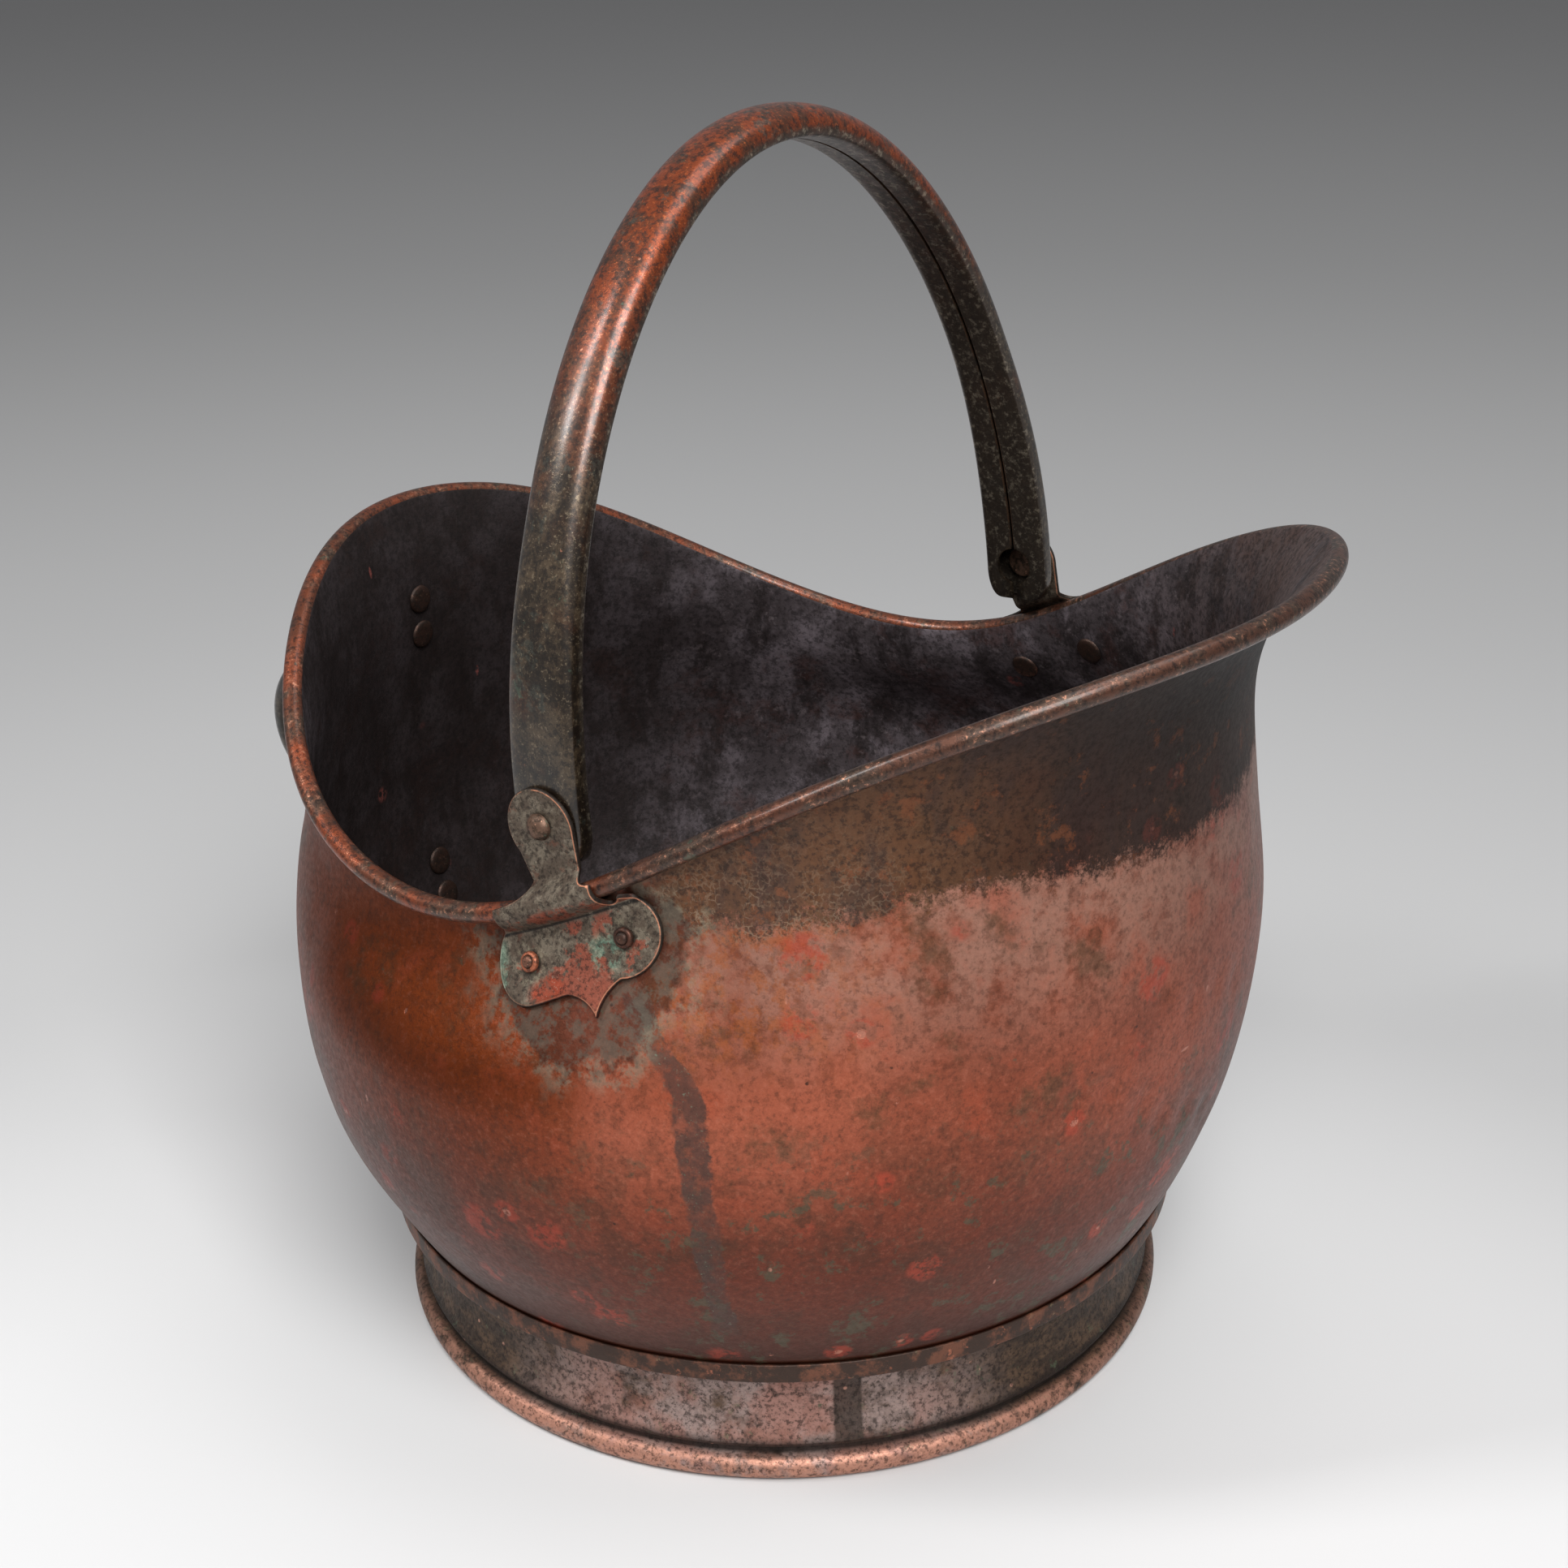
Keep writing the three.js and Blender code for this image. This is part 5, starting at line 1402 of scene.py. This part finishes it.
# %% Bracket finish
def copper_bracket():
    finish = Finish("bracket_copper_worn")
    along, upward, from_edge = [finish.mesh_value(name) for name in ("along", "upward", "from_edge")]
    mottle, patches = finish.clouds(5, 6, 0.72), finish.clouds(11, 6, 0.68)
    grain, dust = [finish.clouds(size, 5, 0.74).step(0.34, 0.66) for size in (1.8, 0.8)]
    plate = upward.step(-6, -9)
    middle = finish.math("ABSOLUTE", along - 6 + (upward + 20) * -0.3).step(13, 5)
    red = plate * (patches + (mottle - 0.5) * 0.5 + middle * 0.16 - 0.13 * upward.step(-21, -13)).step(0.5, 0.56)
    low_lobe = finish.distance(along + 9, (upward + 25) * 1.8).step(9, 4)
    roll = upward.step(-0.2, -1.6) * upward.step(-5.4, -4.2)
    colour = finish.coats(
        "5c4f43",
        ("7c7162", mottle.step(0.42, 0.62)),
        ("70402e", patches.step(0.56, 0.62) * 0.5),
        ("2a211c", finish.clouds(3, 6, 0.74).step(0.54, 0.64) * 0.6),
        ("97503d", red * 0.9),
        ("9c4128", low_lobe * plate * mottle.step(0.36, 0.5) * 0.85),
        ("87402a", roll * (mottle + (patches - 0.5) * 0.8).step(0.42, 0.52) * 0.85),
        ("231b16", grain.step(0.46, 0.08) * 0.6),
        # Painted shadow: a dark line under the saddle's roll, where the sheet turns in to the wall
        ("15100d", upward.step(-5.2, -5.9) * upward.step(-7.3, -6.5) * 0.85),
    )
    # Round each rove, a pale ring of old polish and, close round it, a painted contact shadow
    for (place, height), _ in BRACKET_HOLES[1:]:
        away = finish.distance(along - place, upward - height)
        ring = away.step(8.4, 4.0) * finish.clouds(2.6, 6, 0.8).step(0.48, 0.6)
        colour = finish.coats(colour, ("989079", ring * 0.7), ("241b17", away.step(4.4, 3.6) * 0.6))
    green = finish.distance(along - 13, upward + 19).step(9, 3) * mottle.step(0.4, 0.54)
    green = green + along.step(-21, -26) * plate * mottle.step(0.42, 0.5) * 0.8

    # The cut edge is painted dark, as painted shade along the plate's outline. Only its upper corner is rubbed,
    # most where hands and coal pass on the spout's side
    corner = from_edge.step(0.12, 0.3) * from_edge.step(0.62, 0.4)
    rubbed = corner * finish.clouds(8, 5, 0.7).step(0.36, 0.52) * (0.25 + 0.75 * along.step(-4, 12))
    colour = finish.coats(
        colour,
        (finish.lay("3c5546", "6d8a76", grain), green.step(0, 1) * 0.8),
        ("9a8d7c", dust.step(0.75, 1.0) * mottle.step(0.5, 0.6) * 0.6),
        # Painted shade along the cut edge
        ("1f1713", from_edge.step(0.3, 0.05) * 0.85),
        ("d08c6c", rubbed * 0.9),
        ("9fb09a", corner * along.step(-24, -27) * 0.8),
    )
    colour = finish.shade(colour, 0.72 + grain * 0.24 + dust * 0.14)
    roughness = 0.38 + mottle * 0.2 + (1 - grain) * 0.12 + green * 0.2 - rubbed * 0.15
    relief = mottle * 0.22 + grain * 0.03 + dust * 0.012
    return finish.surface(colour, roughness, 0.6 - green.step(0, 1) * 0.4, relief)


net = bracket_net()
bracket_finish = copper_bracket()
for name, side in (("near", -1), ("far", 1)):
    bracket = make_bracket(f"{name}_bracket_plate", side, net, bracket_finish)
    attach(bracket, "bucket")
    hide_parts(f"{name}_bracket")

# %% [markdown]
# ## Rivets and roves with Geometry Nodes
#
# A copper rivet goes through from inside, where its broad flat head stays, and its end is hammered down over a
# small washer, the rove. There are eight such pairs and two domed pivots, each at its own place and angle: just
# what instances are for. One tree turns an outline and puts it on every place, its axis along the direction that
# the place carries, turned by lot about it and hammered a little out of round.

# %% A tree that sets fasteners
def fastener_tree(name, finish):
    names = {
        "Places": "NodeSocketGeometry",
        "Outline": "NodeSocketObject",
        "Sides": "NodeSocketInt",
        "Uneven": "NodeSocketFloat",
        "Seed": "NodeSocketInt",
    }
    graph, inputs = new_tree(name, names)
    outline = graph.node("GeometryNodeObjectInfo", None, {"Object": inputs["Outline"]}, "Geometry")
    turned = add_turning(graph, outline, inputs["Sides"])
    axis = graph.node("GeometryNodeInputNamedAttribute", {"data_type": "FLOAT_VECTOR"}, {"Name": "axis"})
    upright = graph.node("FunctionNodeAlignRotationToVector", {"axis": "Z"}, {"Vector": axis})
    lot = {0: (0, 0, 0), 1: (0, 0, 6.2832), "Seed": inputs["Seed"]}
    spin = graph.node("FunctionNodeRandomValue", {"data_type": "FLOAT_VECTOR"}, lot)
    turn = {"Rotation": upright, "Rotate By": spin}
    rotation = graph.node("FunctionNodeRotateRotation", {"rotation_space": "LOCAL"}, turn)
    on_points = {"Points": inputs["Places"], "Instance": turned, "Rotation": rotation}
    placed = graph.node("GeometryNodeInstanceOnPoints", None, on_points)
    real = graph.node("GeometryNodeRealizeInstances", None, {"Geometry": placed})
    clouds = graph.node("ShaderNodeTexNoise", None, {"Scale": 330.0, "Detail": 2.0}, "Color")
    centred = graph.node("ShaderNodeVectorMath", {"operation": "SUBTRACT"}, {0: clouds, 1: (0.5, 0.5, 0.5)})
    shift = graph.node("ShaderNodeVectorMath", {"operation": "SCALE"}, {0: centred, "Scale": inputs["Uneven"]})
    beaten = graph.node("GeometryNodeSetPosition", None, {"Geometry": real, "Offset": shift})
    return end_tree(graph, beaten, finish)


def set_fasteners(name, places, outline, tree, uneven, nodes):
    """Places are pairs of a point in millimetres round the belly's axis and a direction."""
    mesh = new_mesh(name, [((x + BELLY_AXIS) / 1000, y / 1000, z / 1000) for (x, y, z), _ in places])
    axes = np.array([direction for _, direction in places], float).ravel()
    mesh.attributes.new("axis", "FLOAT_VECTOR", "POINT").data.foreach_set("vector", axes)
    piece = add_object(name, mesh)
    profile = outline_object(name + "_outline", outline, False)
    bake(piece, tree, {"Outline": profile, "Sides": 40, "Uneven": uneven, "Seed": 7})
    bpy.data.objects.remove(profile)
    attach(piece, "bucket")
    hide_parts(*nodes)


# %% [markdown]
# The rivets' outlines are heights above the wall's outer face. A head is a flat disc with a soft edge; the
# hammered end is a low dome that fills the rove. The pivots are measured from the plane of symmetry: a head inside
# the bail's hollow, a shank through bail and ear, and a high dome outside.

# %% Outlines and places
ROVE_GAP, ROVE_HEIGHT = 0.45, 1.5


def rivet_outline(plate_top):
    head, peen = -SHEET - 0.6, plate_top + ROVE_GAP + ROVE_HEIGHT
    under = [(0, head - 1.1), (3, head - 1.1), (4.6, head - 0.9), (5.2, head - 0.5), (5.4, head), (2, head)]
    top = [(2, peen), (1.85, peen + 0.45), (1.35, peen + 0.85), (0.7, peen + 0.98), (0, peen + 1)]
    return under + top


def rove_outline(plate_top):
    seat = plate_top + ROVE_GAP
    body = [(3.3, seat), (3.3, seat + 0.75), (3.05, seat + 1.2), (2.6, seat + 1.48), (2.15, seat + ROVE_HEIGHT)]
    return [(2.15, seat)] + body + [(2.15, seat)]


def pivot_outline():
    top, seat = BAIL_FACE - 1.2 - 0.5, EAR_INSIDE + BRACKET_SHEET + CLEARANCE
    under = [(0, top - 1.4), (4.8, top - 1.4), (5.6, top - 0.9), (5.6, top), (3, top), (3, seat), (4.15, seat)]
    dome = [(4.4 * math.cos(rise), seat + 3.2 * math.sin(rise)) for rise in np.radians(np.arange(4, 90, 8))]
    return under + dome + [(0, seat + 3.2)]


def bracket_places(side):
    places = []
    for middle, _ in BRACKET_HOLES[1:]:
        x, z = on_bracket(*middle)
        by_x, by_height, out = [float(read_wall(table, x, z)) for table in (WALL_BY_X, WALL_BY_HEIGHT, WALL_OUT)]
        places.append(((x, side * out, z), Vector((-by_x, side, -by_height)).normalized()))
    return places


def rear_places():
    places = []
    for end in (1, -1):
        for row in (0, 1):
            height = rear_root(end) + end * (PAD_GAP + 9 + row * 14)
            foot, tip = back_wall(height, 0), back_wall(height, 1)
            places.append(((-foot[0], 0, foot[1]), (foot[0] - tip[0], 0, tip[1] - foot[1])))
    return places


# %% Finish of rivets and roves
def copper_rivets(name, base, dark, heads_hidden=True):
    finish = Finish(name)
    mottle, grain = finish.clouds(2.4, 5, 0.7), finish.clouds(0.8, 4, 0.7)
    colour = finish.lay(base, dark, mottle.step(0.44, 0.6))
    colour = finish.lay(colour, "d6a084", finish.flecks(1.6, 0.25, 0.4) * 0.7)
    colour = finish.lay(colour, "5b6f5e", finish.clouds(3.5, 5, 0.7).step(0.6, 0.68) * 0.5)
    if heads_hidden:
        # The heads inside the bucket are as sooty as the wall there
        inside = finish.math("ABSOLUTE", finish.y).step(0.148, 0.145) * finish.x.step(-0.147, -0.144)
        colour = finish.lay(colour, "2a211d", inside * 0.85)
    colour = finish.shade(colour, 0.75 + grain * 0.5)
    return finish.surface(colour, 0.34 + mottle * 0.3, 0.7, mottle * 0.12 + grain * 0.05)


rivet_tree = fastener_tree("set_rivets", copper_rivets("rivet_copper_dull", "7d5544", "46342a"))
pivot_tree = fastener_tree("set_pivots", copper_rivets("rivet_copper_pivot", "6f5546", "3d3026", False))
rove_tree = fastener_tree("set_roves", copper_rivets("rivet_copper_rove", "b0684c", "6a4232"))
sides = {"near": -1, "far": 1}
plate_places = [place for side in sides.values() for place in bracket_places(side)]
plate_nodes = [f"{name}_bracket_{{}}_{at}" for name in sides for at in (1, 2)]
rear_nodes = [f"rear_handle_{{}}_{at}" for at in (1, 2, 3, 4)]
pivot_places = [((PIVOT[0], 0, PIVOT[1]), (0, side, 0)) for side in sides.values()]

# %% Set them all
for group, places, plate_top, nodes in (
    ("bracket", plate_places, 1.9, plate_nodes),
    ("rear_strap", rear_places(), 3.4, rear_nodes),
):
    rivets, roves = [[node.format(kind) for node in nodes] for kind in ("rivet", "rove")]
    set_fasteners(f"{group}_rivets", places, rivet_outline(plate_top), rivet_tree, 0.0003, rivets)
    set_fasteners(f"{group}_roves", places, rove_outline(plate_top), rove_tree, 0.0003, roves)
pivots = [f"{name}_pivot_rivet" for name in sides]
set_fasteners("bail_pivots", pivot_places, pivot_outline(), pivot_tree, 0.0004, pivots)


# %% [markdown]
# ## The wires
#
# The iron wires lie inside the rolled edge and the foot's bead, and only show at the gap where the sheet stops.
# Their solids are right as they are, so they stay and get rusty iron for their material slots.

# %% Rusty iron on the solid model's wires
def rusty_iron():
    finish = Finish("iron_wire_rusty")
    mottle, grain = finish.clouds(3, 6, 0.7), finish.clouds(0.9, 4, 0.7)
    colour = finish.lay("3b3430", "6a4128", mottle.step(0.45, 0.6))
    colour = finish.shade(colour, 0.7 + grain * 0.6)
    return finish.surface(colour, 0.55 + mottle * 0.3, 0.5, mottle * 0.15 + grain * 0.08)


iron = rusty_iron()
for name in ("rim_wire", "foot_wire"):
    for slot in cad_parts[name].material_slots:
        slot.material = iron

# %% [markdown]
# ## Measure and finish
#
# The dressed scuttle is meant to be no larger than its solid model. Both boxes are printed.

# %% Sizes
dressed_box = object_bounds()
boxes = {"cad": cad_box, "dressed": dressed_box}
plain = {name: [[float(value) for value in corner] for corner in box] for name, box in boxes.items()}
for name, box in plain.items():
    print(name, [[round(value * 1000, 2) for value in corner] for corner in box])
